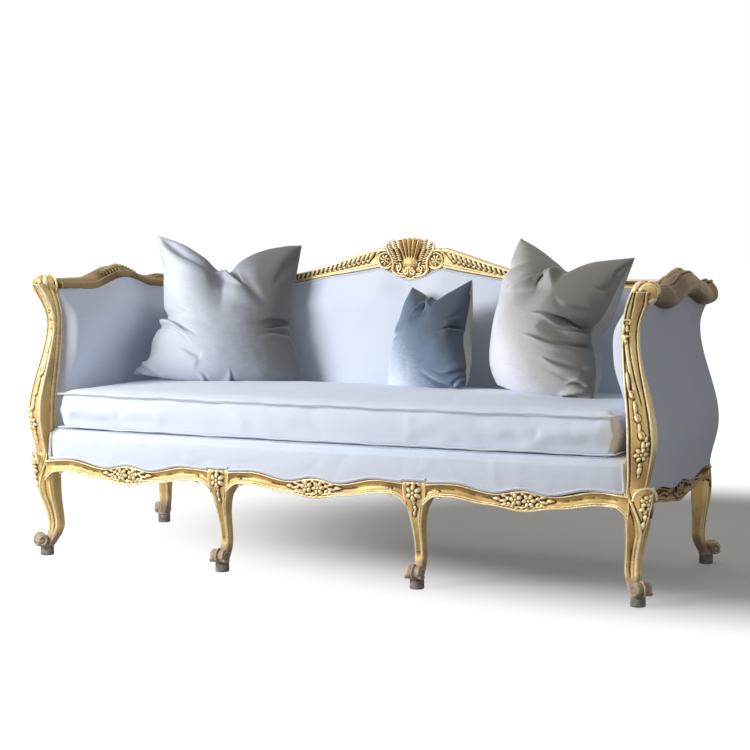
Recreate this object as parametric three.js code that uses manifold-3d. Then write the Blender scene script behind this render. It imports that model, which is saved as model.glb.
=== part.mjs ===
// Cabriole sofa: a carved, gilded frame with a webbed seat, upholstered walls, a loose seat
// cushion and three scatter cushions. Millimetres. +X runs along the sofa, -Y is the front, +Z is
// up, and the origin is on the floor under the middle of the sofa.
import * as THREE from 'three';
import { mergeVertices } from 'three/addons/utils/BufferGeometryUtils.js';
import Module from 'manifold-3d';

const wasm = await Module();
wasm.setup();

// Clearances
const fitGap = 0.3; // between pieces that touch
const undercut = 0.5; // how far a neighbour is moved before it trims a soft piece
const overrun = 40; // how far a cutter runs past what it cuts
const floorReach = 80; // half the side of the block that cuts a leg level

// Main sizes: the rest hangs on these
const wallX = 905; // outside of an arm at its waist
const wallY = 329; // outside of the back at its waist
const frontFootLine = -333;
const railTop = 288;
const deckTop = 382; // top of the stuffed seat under the cushion
const armTop = 827;

// Stance: where the feet stand
const cornerFootOut = 9; // how far the corner feet stand outside the waist
const cornerFootX = wallX + cornerFootOut;
const rearFootOut = 15;
const rearFootX = wallX + rearFootOut;
const middleFootX = 302;
const middleFootForward = 19; // the middle feet stand ahead of the corner feet
const middleFootLine = frontFootLine - middleFootForward;
const rearFootBack = 19;
const rearFootLine = wallY + rearFootBack;

// Feet and legs
const padRadius = 20;
const padHeight = 26;
const padEdge = 3;
const cornerLegRise = 20;
const legTop = railTop + cornerLegRise; // top of a front corner leg
const lowLegRise = 6;
const lowLegTop = railTop + lowLegRise; // top of the other legs
const blockDepth = 42;
const blockFoot = railTop - blockDepth; // underside of the square block at the head of a leg
const ankleSetback = 30;
const rearAnkleSetback = 27;
const cornerBlockHalf = 35;
const rearBlockHalf = 28;
const middleBlockHalf = 34;
const middleLegDepthHalf = 26;
const blockChamfer = 16;
const toeRadius = 21;
const toeReach = 19; // centre of the toe's scroll in front of the foot's centre
const toeHeight = 48;
const toeWidth = 42;

// Seat rails
const tackRise = 37;
const tackTop = railTop + tackRise; // top of the part of a rail that the webbing is tacked to
const railForward = 20;
const railFace = frontFootLine - railForward; // y of the front rail's face beside the corner legs
const railBehind = 30;
const railBack = frontFootLine + railBehind; // y of the front rail's straight back
const railBow = 24; // how far the front rail bows forward
const sideRailOut = 25;
const sideRailFace = wallX + sideRailOut;
const sideRailIn = 25;
const sideRailBack = wallX - sideRailIn;
const rearRailOut = 18;
const rearRailFace = wallY + rearRailOut;
const rearRailIn = 32;
const rearRailBack = wallY - rearRailIn;
const railDepth = 26;
const railUnderside = railTop - railDepth;
const tackSetback = 15;
const faceDrop = 42; // visible height of a rail's carved face where it is plain
const faceWave = 13; // how far the face's edges rise and fall
const faceCove = 6;
const faceBead = 5;
const railRound = 3;
const filletReach = 24; // how far the rail's lower edge falls into each leg

// Walls: how far the arms and the back lean out from their waist
const bulgeHeight = 425;
const waistHeight = 700;
const flareDrop = 27;
const flareHeight = armTop - flareDrop;
const footSway = 29;
const bulgeSway = 51;
const flareSway = 36;
const backSwayShare = 0.6; // the back leans this share of the arms' sway
const coverThickness = 4;
const cornerRadius = 30;

// Arm posts
const postOut = 2;
const postWaistX = wallX + postOut;
const postBehind = 4;
const postWaistY = frontFootLine + postBehind;
const postForwardSwayShare = 0.57;
const postTurn = THREE.MathUtils.degToRad(25); // the carved face looks outward by this
const postWaistWidth = 44;
const postBulgeWidth = 70;
const postFootWidth = 52;
const postHeadWidth = 56;
const postEdge = 6;
const scrollRadius = 32;
const scrollOut = 20;
const scrollX = wallX + scrollOut;
const scrollDrop = 21;
const scrollHeight = armTop - scrollDrop;
const scrollProud = 5;

// Arm rails
const armHump = 33;
const humpY = 47;
const humpHalf = 190;
const armRailIn = 33;
const armRailInner = wallX - armRailIn;
const armRailWidth = 83;
const armRailDrop = 66;
const armRailBehind = 26;
const armRailEnd = wallY + armRailBehind;
const earReach = 8; // how far the rear corner of an arm rail stands out
const earLength = 80;

// Crest
const crestForward = 31;
const crestFront = wallY - crestForward;
const crestBehind = 26;
const crestBack = wallY + crestBehind;
const crestShort = 34;
const crestEnd = wallX - crestShort;
const crestDrop = 2;
const crestTop = armTop - crestDrop;
const crestRise = 92; // how far the crest climbs to the shell
const crestFlatX = 450; // the crest is level beyond this
const crestHeight = 26;
const crestHeightAtShell = 58;
const crestCove = 6;
const shellHalf = 106;
const shellRise = 124;
const shellTop = crestTop + shellRise;
const shellDip = 5;
const shellFoot = crestTop - shellDip;
const shellReach = 80;
const springRise = 25;
const shellSpring = crestTop + springRise; // height that the shell's flutes fan out from
const shellRelief = 22;
const shellFluteDepth = 9;
const shellFlutes = 9;
const rosetteX = 84;
const rosetteRise = 54;
const rosetteHeight = crestTop + rosetteRise;
const rosetteRadius = 19;

// Hidden frame
const stayRise = 8;
const stayFoot = deckTop + stayRise;
const stayHeight = 40;
const stayThickness = 24;
const stileX = middleFootX;
const stileWidth = 45;
const stileThickness = 20;
const backPostHalf = 14;
const backPostInset = 26; // from the outside of a wall to a back post's middle
const braceWidth = 30;
const cornerBraceReach = 95;
const cornerBraceThickness = 32;
const braceHalfHeight = 24;
const braceFoot = railTop - braceHalfHeight;
const braceTop = railTop + braceHalfHeight;

// Webbing and cloth in the seat
const webbingX = wallX;
const webbingLap = 1;
const webbingFront = frontFootLine - webbingLap;
const webbingRearLap = 5;
const webbingRear = wallY + webbingRearLap;
const webbingThickness = 3;
const strapWidth = 58;
const longStraps = 4;
const crossStraps = 9;
const hessianThickness = 1;
const notchX = 62;
const notchY = 52;
const dustCoverThickness = 2;
const dustNotch = 34;

// Upholstery
const armSeatThickness = 33;
const seatInnerX = wallX - armSeatThickness; // inside of an arm at the seat
const armWaistThickness = 70;
const waistInnerX = wallX - armWaistThickness;
const armHeadThickness = 39;
const headInnerX = wallX - armHeadThickness;
const seatInnerRise = 118;
const seatInnerTop = deckTop + seatInnerRise;
const padThickness = 27;
const backThickness = 20;
const padCrown = 8;
const backSeatThickness = 87;
const seatBackY = wallY - backSeatThickness; // front of the stuffed back at the seat
const backWaistThickness = 67;
const waistBackY = wallY - backWaistThickness;
const backHeadThickness = 40;
const headBackY = wallY - backHeadThickness;
const deckBulge = 9;
const deckRoll = 14;

// Loose seat cushion
const cushionRoom = 14;
const cushionHalf = seatInnerX - cushionRoom;
const cushionHeight = 112; // from its underside to the top welt
const cushionCrown = 12;
const cushionEdge = 9;
const cushionSetback = 4;
const cushionCorner = 16;
const cushionPull = 4; // how far the sides draw in between the corners

// Scatter cushions: width at the foot, width at the head, height, thickness, dent in the head
const leftWidth = 510;
const leftHeadWidth = 505;
const leftHeight = 470;
const leftThickness = 190;
const leftChop = 86;
const smallWidth = 346;
const smallHeadWidth = 358;
const smallHeight = 325;
const smallThickness = 158;
const smallChop = 39;
const rightWidth = 484;
const rightHeadWidth = 519;
const rightHeight = 432;
const rightThickness = 250;
const rightChop = 52;
const pillowSink = 9; // how far a pillow presses into the seat before it is cut flush

// Flowers
const flowerRadius = 24;
const flowerDepth = 9;
const leafLength = 44;
const leafWidth = 15;

const { lerp, smoothstep, degToRad } = THREE.MathUtils;
const vector = (x, y, z) => new THREE.Vector3(x, y, z);

// Materials
const finish = (color, roughness, metalness) =>
  new THREE.MeshStandardMaterial({ color, roughness, metalness });
const gilt = finish(0xb8893a, 0.42, 0.75);
const wornGilt = finish(0x8d8578, 0.7, 0.2);
const beech = finish(0xb8905f, 0.7, 0);
const linen = finish(0xd3dae8, 0.9, 0);
const jute = finish(0xa58a5e, 0.95, 0);
const cambric = finish(0x26262a, 0.95, 0);
const silverVelvet = finish(0xa7adb4, 0.65, 0);
const blueVelvet = finish(0x5d6d80, 0.65, 0);

// Solids

// A closed geometry as a solid that can be cut and joined.
function solidOf(geometry) {
  const bare = geometry.index ? geometry.toNonIndexed() : geometry.clone();
  bare.deleteAttribute('normal');
  bare.deleteAttribute('uv');
  const merged = mergeVertices(bare);
  const faces = [];
  const index = merged.index.array;
  for (let i = 0; i < index.length; i += 3) {
    const [a, b, c] = index.slice(i, i + 3);
    if (a !== b && b !== c && c !== a) faces.push(a, b, c);
  }
  const make = (triVerts) =>
    new wasm.Manifold(
      new wasm.Mesh({
        numProp: 3,
        vertProperties: merged.attributes.position.array,
        triVerts: new Uint32Array(triVerts),
      }),
    );
  const made = make(faces);
  return made.volume() < 0 ? make(faces.reverse()) : made;
}

function geometryOf(solid) {
  const mesh = solid.getMesh();
  return new THREE.BufferGeometry()
    .setAttribute('position', new THREE.BufferAttribute(mesh.vertProperties, mesh.numProp))
    .setIndex(new THREE.BufferAttribute(mesh.triVerts, 1));
}

// A box between two corners.
function boxSolid(low, high) {
  const size = high.clone().sub(low);
  const middle = low.clone().add(high).multiplyScalar(0.5);
  return solidOf(
    new THREE.BoxGeometry(size.x, size.y, size.z).translate(middle.x, middle.y, middle.z),
  );
}

// Skins a row of closed outlines that all have the same number of points. Each station is a list
// of 2D points, and place(point, station) says where such a point lies in space.
function loft(stations, place) {
  const count = stations[0].length;
  const points = stations.flatMap((outline, i) => outline.map((point) => place(point, i)));
  const faces = [];
  for (let i = 0; i + 1 < stations.length; i++)
    for (let k = 0; k < count; k++) {
      const a = i * count + k;
      const b = i * count + ((k + 1) % count);
      faces.push(a, b, b + count, a, b + count, a + count);
    }
  const capOf = (outline) => THREE.ShapeUtils.triangulateShape(outline, []);
  const turned = THREE.ShapeUtils.isClockWise(stations[0]);
  const last = (stations.length - 1) * count;
  for (const [a, b, c] of capOf(stations[0])) faces.push(...(turned ? [a, b, c] : [a, c, b]));
  for (const [a, b, c] of capOf(stations.at(-1)))
    faces.push(...(turned ? [a, c, b] : [a, b, c]).map((v) => v + last));
  return solidOf(
    new THREE.BufferGeometry()
      .setAttribute(
        'position',
        new THREE.Float32BufferAttribute(
          points.flatMap((p) => p.toArray()),
          3,
        ),
      )
      .setIndex(faces),
  );
}

// A closed solid between two surfaces over the same square of u and v.
function slab(nu, nv, front, back) {
  const positions = [];
  for (const side of [front, back])
    for (let i = 0; i <= nu; i++)
      for (let j = 0; j <= nv; j++) positions.push(...side(i / nu, j / nv).toArray());
  const row = nv + 1;
  const half = (nu + 1) * row;
  const faces = [];
  const quad = (a, b, c, d) => faces.push(a, b, c, a, c, d);
  for (let i = 0; i < nu; i++)
    for (let j = 0; j < nv; j++) {
      const a = i * row + j;
      quad(a, a + row, a + row + 1, a + 1);
      quad(half + a, half + a + 1, half + a + row + 1, half + a + row);
    }
  const rim = [];
  for (let i = 0; i < nu; i++) rim.push(i * row);
  for (let j = 0; j < nv; j++) rim.push(nu * row + j);
  for (let i = nu; i > 0; i--) rim.push(i * row + nv);
  for (let j = nv; j > 0; j--) rim.push(j);
  rim.forEach((a, k) => {
    const b = rim[(k + 1) % rim.length];
    quad(a, half + a, half + b, b);
  });
  return solidOf(
    new THREE.BufferGeometry()
      .setAttribute('position', new THREE.Float32BufferAttribute(positions, 3))
      .setIndex(faces),
  );
}

// A piece cut back from a neighbour that is first moved a little each way it is told.
function trimmed(solid, neighbour, ...shifts) {
  const cut = shifts.reduce(
    (made, shift) => made.subtract(neighbour.translate(shift.toArray())),
    solid.subtract(neighbour),
  );
  return cut.decompose().reduce((a, b) => (a.volume() > b.volume() ? a : b));
}

const planeShare = 0.4;

// A rectangle with planed corners, as an outline of 8 points.
function planedRectangle(halfX, halfY) {
  const plane = planeShare * Math.min(halfX, halfY);
  const corners = [[1, -1], [1, 1], [-1, 1], [-1, -1]];
  return corners.flatMap(([sx, sy]) => {
    const insets = [[plane, 0], [0, plane]];
    if (sx * sy > 0) insets.reverse();
    return insets.map(([x, y]) => new THREE.Vector2(sx * (halfX - x), sy * (halfY - y)));
  });
}

// Reads a table of [position share, value share] at a position, with smooth or straight steps
// between its rows.
function readShares(table, at, smooth = false) {
  const next = table.findIndex((row) => row[0] >= at);
  if (next === 0) return table[0][1];
  if (next < 0) return table.at(-1)[1];
  const [[from, low], [to, high]] = [table[next - 1], table[next]];
  const share = smooth ? smoothstep(at, from, to) : (at - from) / (to - from);
  return lerp(low, high, share);
}

const range = (steps) => Array.from({ length: steps + 1 }, (_, i) => i / steps);

// Shapes that several pieces share

// How far a wall leans out from its waist at a height.
function sway(z) {
  if (z < bulgeHeight) return lerp(footSway, bulgeSway, smoothstep(z, railTop, bulgeHeight));
  if (z < waistHeight) return lerp(bulgeSway, 0, smoothstep(z, bulgeHeight, waistHeight));
  return 2 * flareSway * smoothstep(z, waistHeight, 2 * flareHeight - waistHeight);
}

const outerX = (z) => wallX + sway(z);
const outerY = (z) => wallY + backSwayShare * sway(z);

const innerX = (z) =>
  z < waistHeight
    ? lerp(seatInnerX, waistInnerX, smoothstep(z, seatInnerTop, waistHeight))
    : lerp(waistInnerX, headInnerX, smoothstep(z, waistHeight, flareHeight));

const innerY = (z) =>
  z < waistHeight
    ? lerp(seatBackY, waistBackY, smoothstep(z, deckTop, waistHeight))
    : lerp(waistBackY, headBackY, smoothstep(z, waistHeight, flareHeight));

// The front rail's face bows forward between the corner legs.
const frontFace = (x) => railFace - railBow * (1 - (x / cornerFootX) ** 2);

// Top of an arm rail, which humps in the middle.
function armTopAt(y) {
  const t = Math.min(1, Math.abs(y - humpY) / humpHalf);
  return armTop + armHump * Math.cos((t * Math.PI) / 2) ** 2;
}

// Top and foot of the crest rail: [share of the way in from its level part, share of its rise].
const crestShares = [[0, 0], [0.2, 0.16], [0.42, 0.46], [0.63, 0.79], [0.79, 1], [1, 1]];
const crestWay = (x) => Math.max(0, 1 - Math.abs(x) / crestFlatX);
const crestTopAt = (x) => crestTop + crestRise * readShares(crestShares, crestWay(x));
const crestHeightAt = (x) =>
  lerp(crestHeight, crestHeightAtShell, smoothstep(crestWay(x), 0.2, 0.8));
const crestFootAt = (x) => crestTopAt(x) - crestHeightAt(x);

const petalCount = 5;
const petalNotchShare = 0.14;
// [depth share, size share] from the flower's root to its eye.
const flowerShares = [[-0.85, 1], [0.45, 0.96], [0.85, 0.5], [1, 0.12]];

// A flower that faces -Y, with its root sunk behind y = 0.
function flower(radius, depth) {
  const turns = range(3 * petalCount)
    .slice(1)
    .map((share) => 2 * Math.PI * share);
  const ring = ([, size]) =>
    turns.map((turn) => {
      const reach = radius * size * (1 - petalNotchShare * (1 - Math.cos(petalCount * turn)));
      return new THREE.Vector2(reach * Math.sin(turn), reach * Math.cos(turn));
    });
  return loft(flowerShares.map(ring), (p, i) => vector(p.x, -depth * flowerShares[i][0], p.y));
}

// A pointed leaf that lies along X and faces -Y.
function leaf(length, width, depth) {
  return solidOf(new THREE.SphereGeometry(1, 6, 4).scale(length / 2, depth, width / 2));
}

// Legs

// [height share, setback share, width share, depth share], from the pad to the block.
const cornerLegShares = [
  [0, 0, 0.48, 0.48],
  [0.07, 0.45, 0.5, 0.5],
  [0.14, 0.83, 0.52, 0.52],
  [0.21, 1, 0.55, 0.55],
  [0.32, 0.95, 0.55, 0.55],
  [0.42, 0.77, 0.6, 0.6],
  [0.53, 0.52, 0.71, 0.71],
  [0.64, 0.35, 0.82, 0.82],
  [0.78, 0.24, 0.92, 0.92],
  [0.95, 0.2, 0.96, 0.96],
];
const rearLegShares = [
  [0, 0, 0.52, 0.52],
  [0.07, 0.45, 0.52, 0.52],
  [0.14, 0.83, 0.54, 0.54],
  [0.21, 1, 0.58, 0.58],
  [0.32, 0.98, 0.6, 0.6],
  [0.42, 0.92, 0.66, 0.66],
  [0.53, 0.86, 0.76, 0.76],
  [0.64, 0.8, 0.88, 0.88],
  [0.78, 0.74, 0.96, 0.96],
  [0.95, 0.7, 0.98, 0.98],
];
const middleLegShares = [
  [0, 0, 0.46, 0.66],
  [0.07, 0.45, 0.44, 0.66],
  [0.14, 0.83, 0.42, 0.68],
  [0.21, 1, 0.4, 0.7],
  [0.32, 0.95, 0.4, 0.7],
  [0.42, 0.77, 0.42, 0.74],
  [0.53, 0.52, 0.48, 0.82],
  [0.64, 0.35, 0.62, 0.94],
  [0.74, 0.3, 0.82, 1],
  [0.95, 0.26, 0.98, 1],
];

// A cabriole leg with its foot's centre on the origin. The toe points along the angle, which is
// counted from +X towards +Y.
function leg(shares, halfX, halfY, setback, toeAngle, top) {
  const toe = new THREE.Vector2(Math.cos(toeAngle), Math.sin(toeAngle));
  const foot = padHeight + fitGap;
  const shaft = loft(
    shares.map(([, , width, depth]) => planedRectangle(halfX * width, halfY * depth)),
    (p, i) => {
      const [rise, back] = shares[i];
      const height = lerp(foot, top, rise);
      return vector(p.x - toe.x * setback * back, p.y - toe.y * setback * back, height);
    },
  );
  const scroll = solidOf(
    new THREE.CylinderGeometry(toeRadius, toeRadius, toeWidth, 14)
      .rotateZ(toeAngle)
      .translate(toe.x * toeReach, toe.y * toeReach, toeHeight),
  );
  const floor = boxSolid(
    vector(-floorReach, -floorReach, -floorReach),
    vector(floorReach, floorReach, foot),
  );
  return shaft.add(scroll).subtract(floor);
}

const middleBlockFront = frontFace(middleFootX) - faceBead - railRound;
const settle = Math.SQRT1_2 * cornerLegShares.at(-1)[1] * ankleSetback;
const rearSettle = Math.SQRT1_2 * rearLegShares.at(-1)[1] * rearAnkleSetback;
const cornerBlockX = cornerFootX - settle;
const cornerBlockY = frontFootLine + settle;
const rearBlockX = rearFootX - rearSettle;
const rearBlockY = rearFootLine - rearSettle;
const postBack = cornerBlockY + cornerBlockHalf; // the carved front ends here and the arms begin

// A corner leg in its place on the right. The block's outer corner is planed off for carving.
function cornerLeg({ footX, footY, blockX, blockY, half, setback, shares, top, towards }) {
  const toeAngle = (towards * Math.PI) / 4;
  const shaft = leg(shares, half, half, setback, toeAngle, top).translate([footX, footY, 0]);
  const block = boxSolid(
    vector(blockX - half, blockY - half, blockFoot),
    vector(blockX + half, blockY + half, top),
  );
  const face = Math.SQRT2 * half - blockChamfer * Math.SQRT1_2;
  const corner = solidOf(
    new THREE.BoxGeometry(overrun, 4 * half, top)
      .translate(overrun / 2 + face, 0, top)
      .rotateZ(toeAngle)
      .translate(blockX, blockY, 0),
  );
  const carving = solidOf(
    geometryOf(flower(flowerRadius, flowerDepth))
      .rotateZ(toeAngle + Math.PI / 2)
      .translate(
        blockX + face * Math.cos(toeAngle),
        blockY + face * Math.sin(toeAngle),
        (top + blockFoot) / 2,
      ),
  );
  return shaft.add(block.subtract(corner)).add(carving);
}

// A middle leg in its place on the right.
function middleLeg() {
  const shaft = leg(
    middleLegShares,
    middleBlockHalf,
    middleLegDepthHalf,
    ankleSetback,
    -Math.PI / 2,
    lowLegTop,
  ).translate([middleFootX, middleFootLine, 0]);
  const block = boxSolid(
    vector(middleFootX - middleBlockHalf, middleBlockFront, blockFoot),
    vector(middleFootX + middleBlockHalf, railBack, lowLegTop),
  );
  const carving = flower(flowerRadius, flowerDepth).translate([
    middleFootX,
    middleBlockFront,
    (lowLegTop + blockFoot) / 2,
  ]);
  return shaft.add(block).add(carving);
}

// A turned pad under a leg.
function footPad() {
  const profile = [
    [0, 0],
    [padRadius - padEdge, 0],
    [padRadius, padEdge],
    [padRadius, padHeight - padEdge],
    [padRadius - padEdge, padHeight],
    [0, padHeight],
  ].map(([r, z]) => new THREE.Vector2(r, z));
  return solidOf(new THREE.LatheGeometry(profile, 14).rotateX(Math.PI / 2));
}

// Seat rails

// The rail's face between its top and its foot: [share of the half bay, share of the wave].
const faceTopShares = [[0, -0.1], [0.28, -1], [0.7, 0.45], [1, 0.15]];
const faceFootShares = [[0, -1.25], [0.35, -0.25], [0.72, 0.8], [1, 0.85]];

// Outline of a rail across its length, as points of (distance in from the face, height).
function railOutline(top, foot, depth) {
  return [
    [depth, railUnderside],
    [faceBead + railRound, foot],
    [0, foot + railRound],
    [-railRound, foot + faceBead + railRound],
    [faceCove, (top + foot) / 2],
    [-railRound, top - faceBead],
    [railRound, top],
    [tackSetback, top],
    [tackSetback, tackTop],
    [depth, tackTop],
  ].map(([d, z]) => new THREE.Vector2(d, z));
}

// How far the lower edge falls where a rail runs into a leg.
const filletDrop = (distance) =>
  filletReach * (1 - smoothstep(distance, 0, filletReach)) ** 2;

function waveOf(along, from, to) {
  const middle = (from + to) / 2;
  const share = Math.abs(along - middle) / ((to - from) / 2);
  const fall = filletDrop(Math.min(along - from, to - along));
  return {
    top: railTop + faceWave * readShares(faceTopShares, share, true),
    foot: railTop - faceDrop + faceWave * readShares(faceFootShares, share, true) - fall,
  };
}

const railSteps = [0, 0.02, 0.05, 0.14, 0.25, 0.36, 0.5];
const railStepShares = [...railSteps, ...railSteps.slice(0, -1).reverse().map((s) => 1 - s)];

function frontRail(from, to) {
  const places = railStepShares.map((share) => lerp(from, to, share));
  const rail = loft(
    places.map((x) => {
      const { top, foot } = waveOf(x, from, to);
      return railOutline(top, foot, railBack - frontFace(x));
    }),
    (p, i) => vector(places[i], frontFace(places[i]) + p.x, p.y),
  );
  const middle = (from + to) / 2;
  const height = railTop - faceDrop / 2 - railRound;
  const spray = leaf(leafLength, leafWidth, flowerDepth);
  const reach = flowerRadius + leafLength / 2 - railRound;
  return rail
    .add(flower(flowerRadius, flowerDepth).translate([middle, frontFace(middle), height]))
    .add(spray.translate([middle - reach, frontFace(middle), height]))
    .add(spray.translate([middle + reach, frontFace(middle), height]));
}

// The side rail on the right, and the rear rail, which has a plain face.
function sideRail(from, to) {
  const places = railStepShares.map((share) => lerp(from, to, share));
  const rail = loft(
    places.map((y) => {
      const { top, foot } = waveOf(y, from, to);
      return railOutline(top, foot, sideRailFace - sideRailBack);
    }),
    (p, i) => vector(sideRailFace - p.x, places[i], p.y),
  );
  const carving = solidOf(
    geometryOf(flower(flowerRadius, flowerDepth))
      .rotateZ(Math.PI / 2)
      .translate(sideRailFace, (from + to) / 2, railTop - faceDrop / 2),
  );
  return rail.add(carving);
}

function rearRail(half) {
  const outline = railOutline(railTop, railTop - faceDrop, rearRailFace - rearRailBack);
  return loft([outline, outline], (p, i) => vector(i ? half : -half, rearRailFace - p.x, p.y));
}

// Arm posts

// Width of a post's carved face at a height.
function postWidth(z) {
  if (z < bulgeHeight)
    return lerp(postFootWidth, postBulgeWidth, smoothstep(z, legTop, bulgeHeight));
  if (z < waistHeight)
    return lerp(postBulgeWidth, postWaistWidth, smoothstep(z, bulgeHeight, waistHeight));
  return lerp(postWaistWidth, postHeadWidth, smoothstep(z, waistHeight, scrollHeight));
}

const postHeightShares = [0, 0.07, 0.15, 0.23, 0.32, 0.42, 0.52, 0.62, 0.72, 0.8, 0.87, 0.93, 1];

function armPost() {
  const foot = legTop + fitGap;
  const heights = postHeightShares.map((share) => lerp(foot, scrollHeight, share));
  const outline = (z) => {
    const lean = sway(z);
    const width = postWidth(z);
    const outX = postWaistX + lean;
    const outY = postWaistY - postForwardSwayShare * lean;
    const inX = outX - width * Math.cos(postTurn);
    const inY = outY - width * Math.sin(postTurn);
    return [
      [inX, postBack],
      [inX, inY + postEdge],
      [inX + postEdge, inY],
      [outX - postEdge, outY - postEdge / 2],
      [outX, outY + postEdge],
      [outX, postBack],
    ].map(([x, y]) => new THREE.Vector2(x, y));
  };
  const shaft = loft(heights.map(outline), (p, i) => vector(p.x, p.y, heights[i]));
  const scrollFront = postWaistY - postForwardSwayShare * flareSway - scrollProud;
  const scrollLength = postBack - scrollFront;
  const scroll = solidOf(
    new THREE.CylinderGeometry(scrollRadius, scrollRadius, scrollLength, 16).translate(
      scrollX,
      postBack - scrollLength / 2,
      scrollHeight,
    ),
  );
  const behind = boxSolid(
    vector(waistInnerX - overrun, postBack, 0),
    vector(wallX + 3 * overrun, postBack + 3 * overrun, armTop + overrun),
  );
  return shaft.add(scroll).subtract(behind);
}

// Arm rails: [share of the width, share of the drop] around the section.
const armRailShares = [
  [0.02, -0.5], [0, -0.36], [0.06, -0.1], [0.3, 0], [0.62, -0.05], [0.9, -0.28],
  [1, -0.6], [0.92, -0.88], [0.7, -1], [0.48, -0.92], [0.26, -0.62],
];

function armRail() {
  const from = postBack + fitGap;
  const places = range(16).map((share) => lerp(from, armRailEnd, share));
  return loft(
    places.map((y) => {
      const ear = earReach * smoothstep(y, armRailEnd - earLength, armRailEnd - earLength / 2);
      return armRailShares.map(
        ([across, down]) =>
          new THREE.Vector2(
            armRailInner + (armRailWidth + ear) * across,
            armTopAt(y) + armRailDrop * down,
          ),
      );
    }),
    (p, i) => vector(p.x, places[i], p.y),
  );
}

// Crest

const crestOutline = (top, foot) =>
  [
    [crestFront, foot],
    [crestFront + crestCove, (top + foot) / 2],
    [crestFront, top - faceBead],
    [crestFront + crestCove, top],
    [crestBack - crestCove, top],
    [crestBack, top - faceBead],
    [crestBack, foot],
  ].map(([y, z]) => new THREE.Vector2(y, z));

function crestRail() {
  const places = [0, 0.06, 0.14, 0.22, 0.3, 0.38, 0.46, 0.55, 0.78, 1].map((share) =>
    lerp(shellHalf + fitGap, crestEnd, share),
  );
  return loft(
    places.map((x) => crestOutline(crestTopAt(x), crestFootAt(x))),
    (p, i) => vector(places[i], p.x, p.y),
  );
}

const shellFanShare = 0.62; // share of a half turn that the shell's flutes fan over
const shellRimShare = 0.05;
const shellEyeShare = 0.12;
const shellRootShare = 0.45;
const cartoucheShares = [
  [-1, 1],
  [-0.86, 0.42],
  [-0.4, 0.12],
  [0, 0],
  [0.4, 0.12],
  [0.86, 0.42],
  [1, 1],
];

// The shell: a fluted fan over a cartouche, between two rosettes.
function crestShell() {
  const fanPoint = (u, v) => {
    const turn = (u - 0.5) * shellFanShare * Math.PI;
    const reach = lerp(shellReach, shellTop - shellSpring, Math.cos(turn) ** 2);
    const flute = (1 - Math.cos(2 * Math.PI * u * shellFlutes)) / 2;
    const way = lerp(shellEyeShare, 1, v);
    const edge = reach * way * (1 + shellRimShare * flute * way);
    return { x: Math.sin(turn) * edge, z: shellSpring + Math.cos(turn) * edge, flute };
  };
  const front = (u, v) => {
    const { x, z, flute } = fanPoint(u, v);
    const relief = shellRelief * lerp(shellRootShare, 1, v);
    return vector(x, crestFront - relief - shellFluteDepth * (flute - 1) * v, z);
  };
  const back = (u, v) => {
    const { x, z } = fanPoint(u, v);
    return vector(x, crestBack, z);
  };
  const outline = cartoucheShares.map(
    ([x, z]) => new THREE.Vector2(x * shellHalf, lerp(shellFoot, crestTopAt(shellHalf), z)),
  );
  const cartouche = solidOf(
    new THREE.ExtrudeGeometry(new THREE.Shape(outline), {
      depth: crestBack - crestFront,
      bevelEnabled: false,
    })
      .rotateX(Math.PI / 2)
      .translate(0, crestBack, 0),
  );
  const rosette = flower(rosetteRadius, flowerDepth);
  return cartouche
    .add(slab(4 * shellFlutes, 3, front, back))
    .add(rosette.translate([-rosetteX, crestFront, rosetteHeight]))
    .add(rosette.translate([rosetteX, crestFront, rosetteHeight]));
}

// Hidden frame

const stayTop = stayFoot + stayHeight;

// A post that follows the walls' sway, between its foot and its head.
function swayingPost(centre, halfX, halfY, foot, head) {
  const heights = [
    foot,
    (foot + stayFoot) / 2,
    stayFoot,
    bulgeHeight,
    stayTop,
    ...[0.25, 0.5, 0.75, 1].map((share) => lerp(stayTop, waistHeight, share)),
    (waistHeight + head) / 2,
    head,
  ].filter((height) => height >= foot);
  const outline = planedRectangle(halfX, halfY);
  return loft(
    heights.map(() => outline),
    (p, i) => centre(heights[i]).add(vector(p.x, p.y, heights[i])),
  );
}

function backPost(rail) {
  const post = swayingPost(
    (z) => vector(outerX(z) - backPostInset, outerY(z) - backPostInset, 0),
    backPostHalf,
    backPostHalf,
    lowLegTop + fitGap,
    armTop - armRailDrop / 2,
  );
  return trimmed(post, rail, vector(0, 0, -undercut));
}

const backPostFace = backPostInset + backPostHalf + fitGap;
const stayInset = backPostInset + stayThickness / 2;

function armStay() {
  const x = outerX(stayFoot) - stayInset;
  return boxSolid(
    vector(x, postBack + fitGap, stayFoot),
    vector(x + stayThickness, outerY(stayFoot) - backPostFace, stayTop),
  );
}

function backStay() {
  const half = outerX(stayFoot) - backPostFace;
  const y = outerY(stayFoot) - stayInset;
  return boxSolid(vector(-half, y, stayFoot), vector(half, y + stayThickness, stayTop));
}

function backStile(crest) {
  const stile = swayingPost(
    (z) => vector(stileX, outerY(z) - backPostInset, 0),
    stileWidth / 2,
    stileThickness / 2,
    stayTop + fitGap,
    crestTopAt(stileX) - crestCove,
  );
  return trimmed(stile, crest, vector(0, 0, -undercut));
}

function seatBrace() {
  return boxSolid(
    vector(middleFootX - braceWidth / 2, railBack + fitGap, braceFoot),
    vector(middleFootX + braceWidth / 2, rearRailBack - fitGap, braceTop),
  );
}

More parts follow.
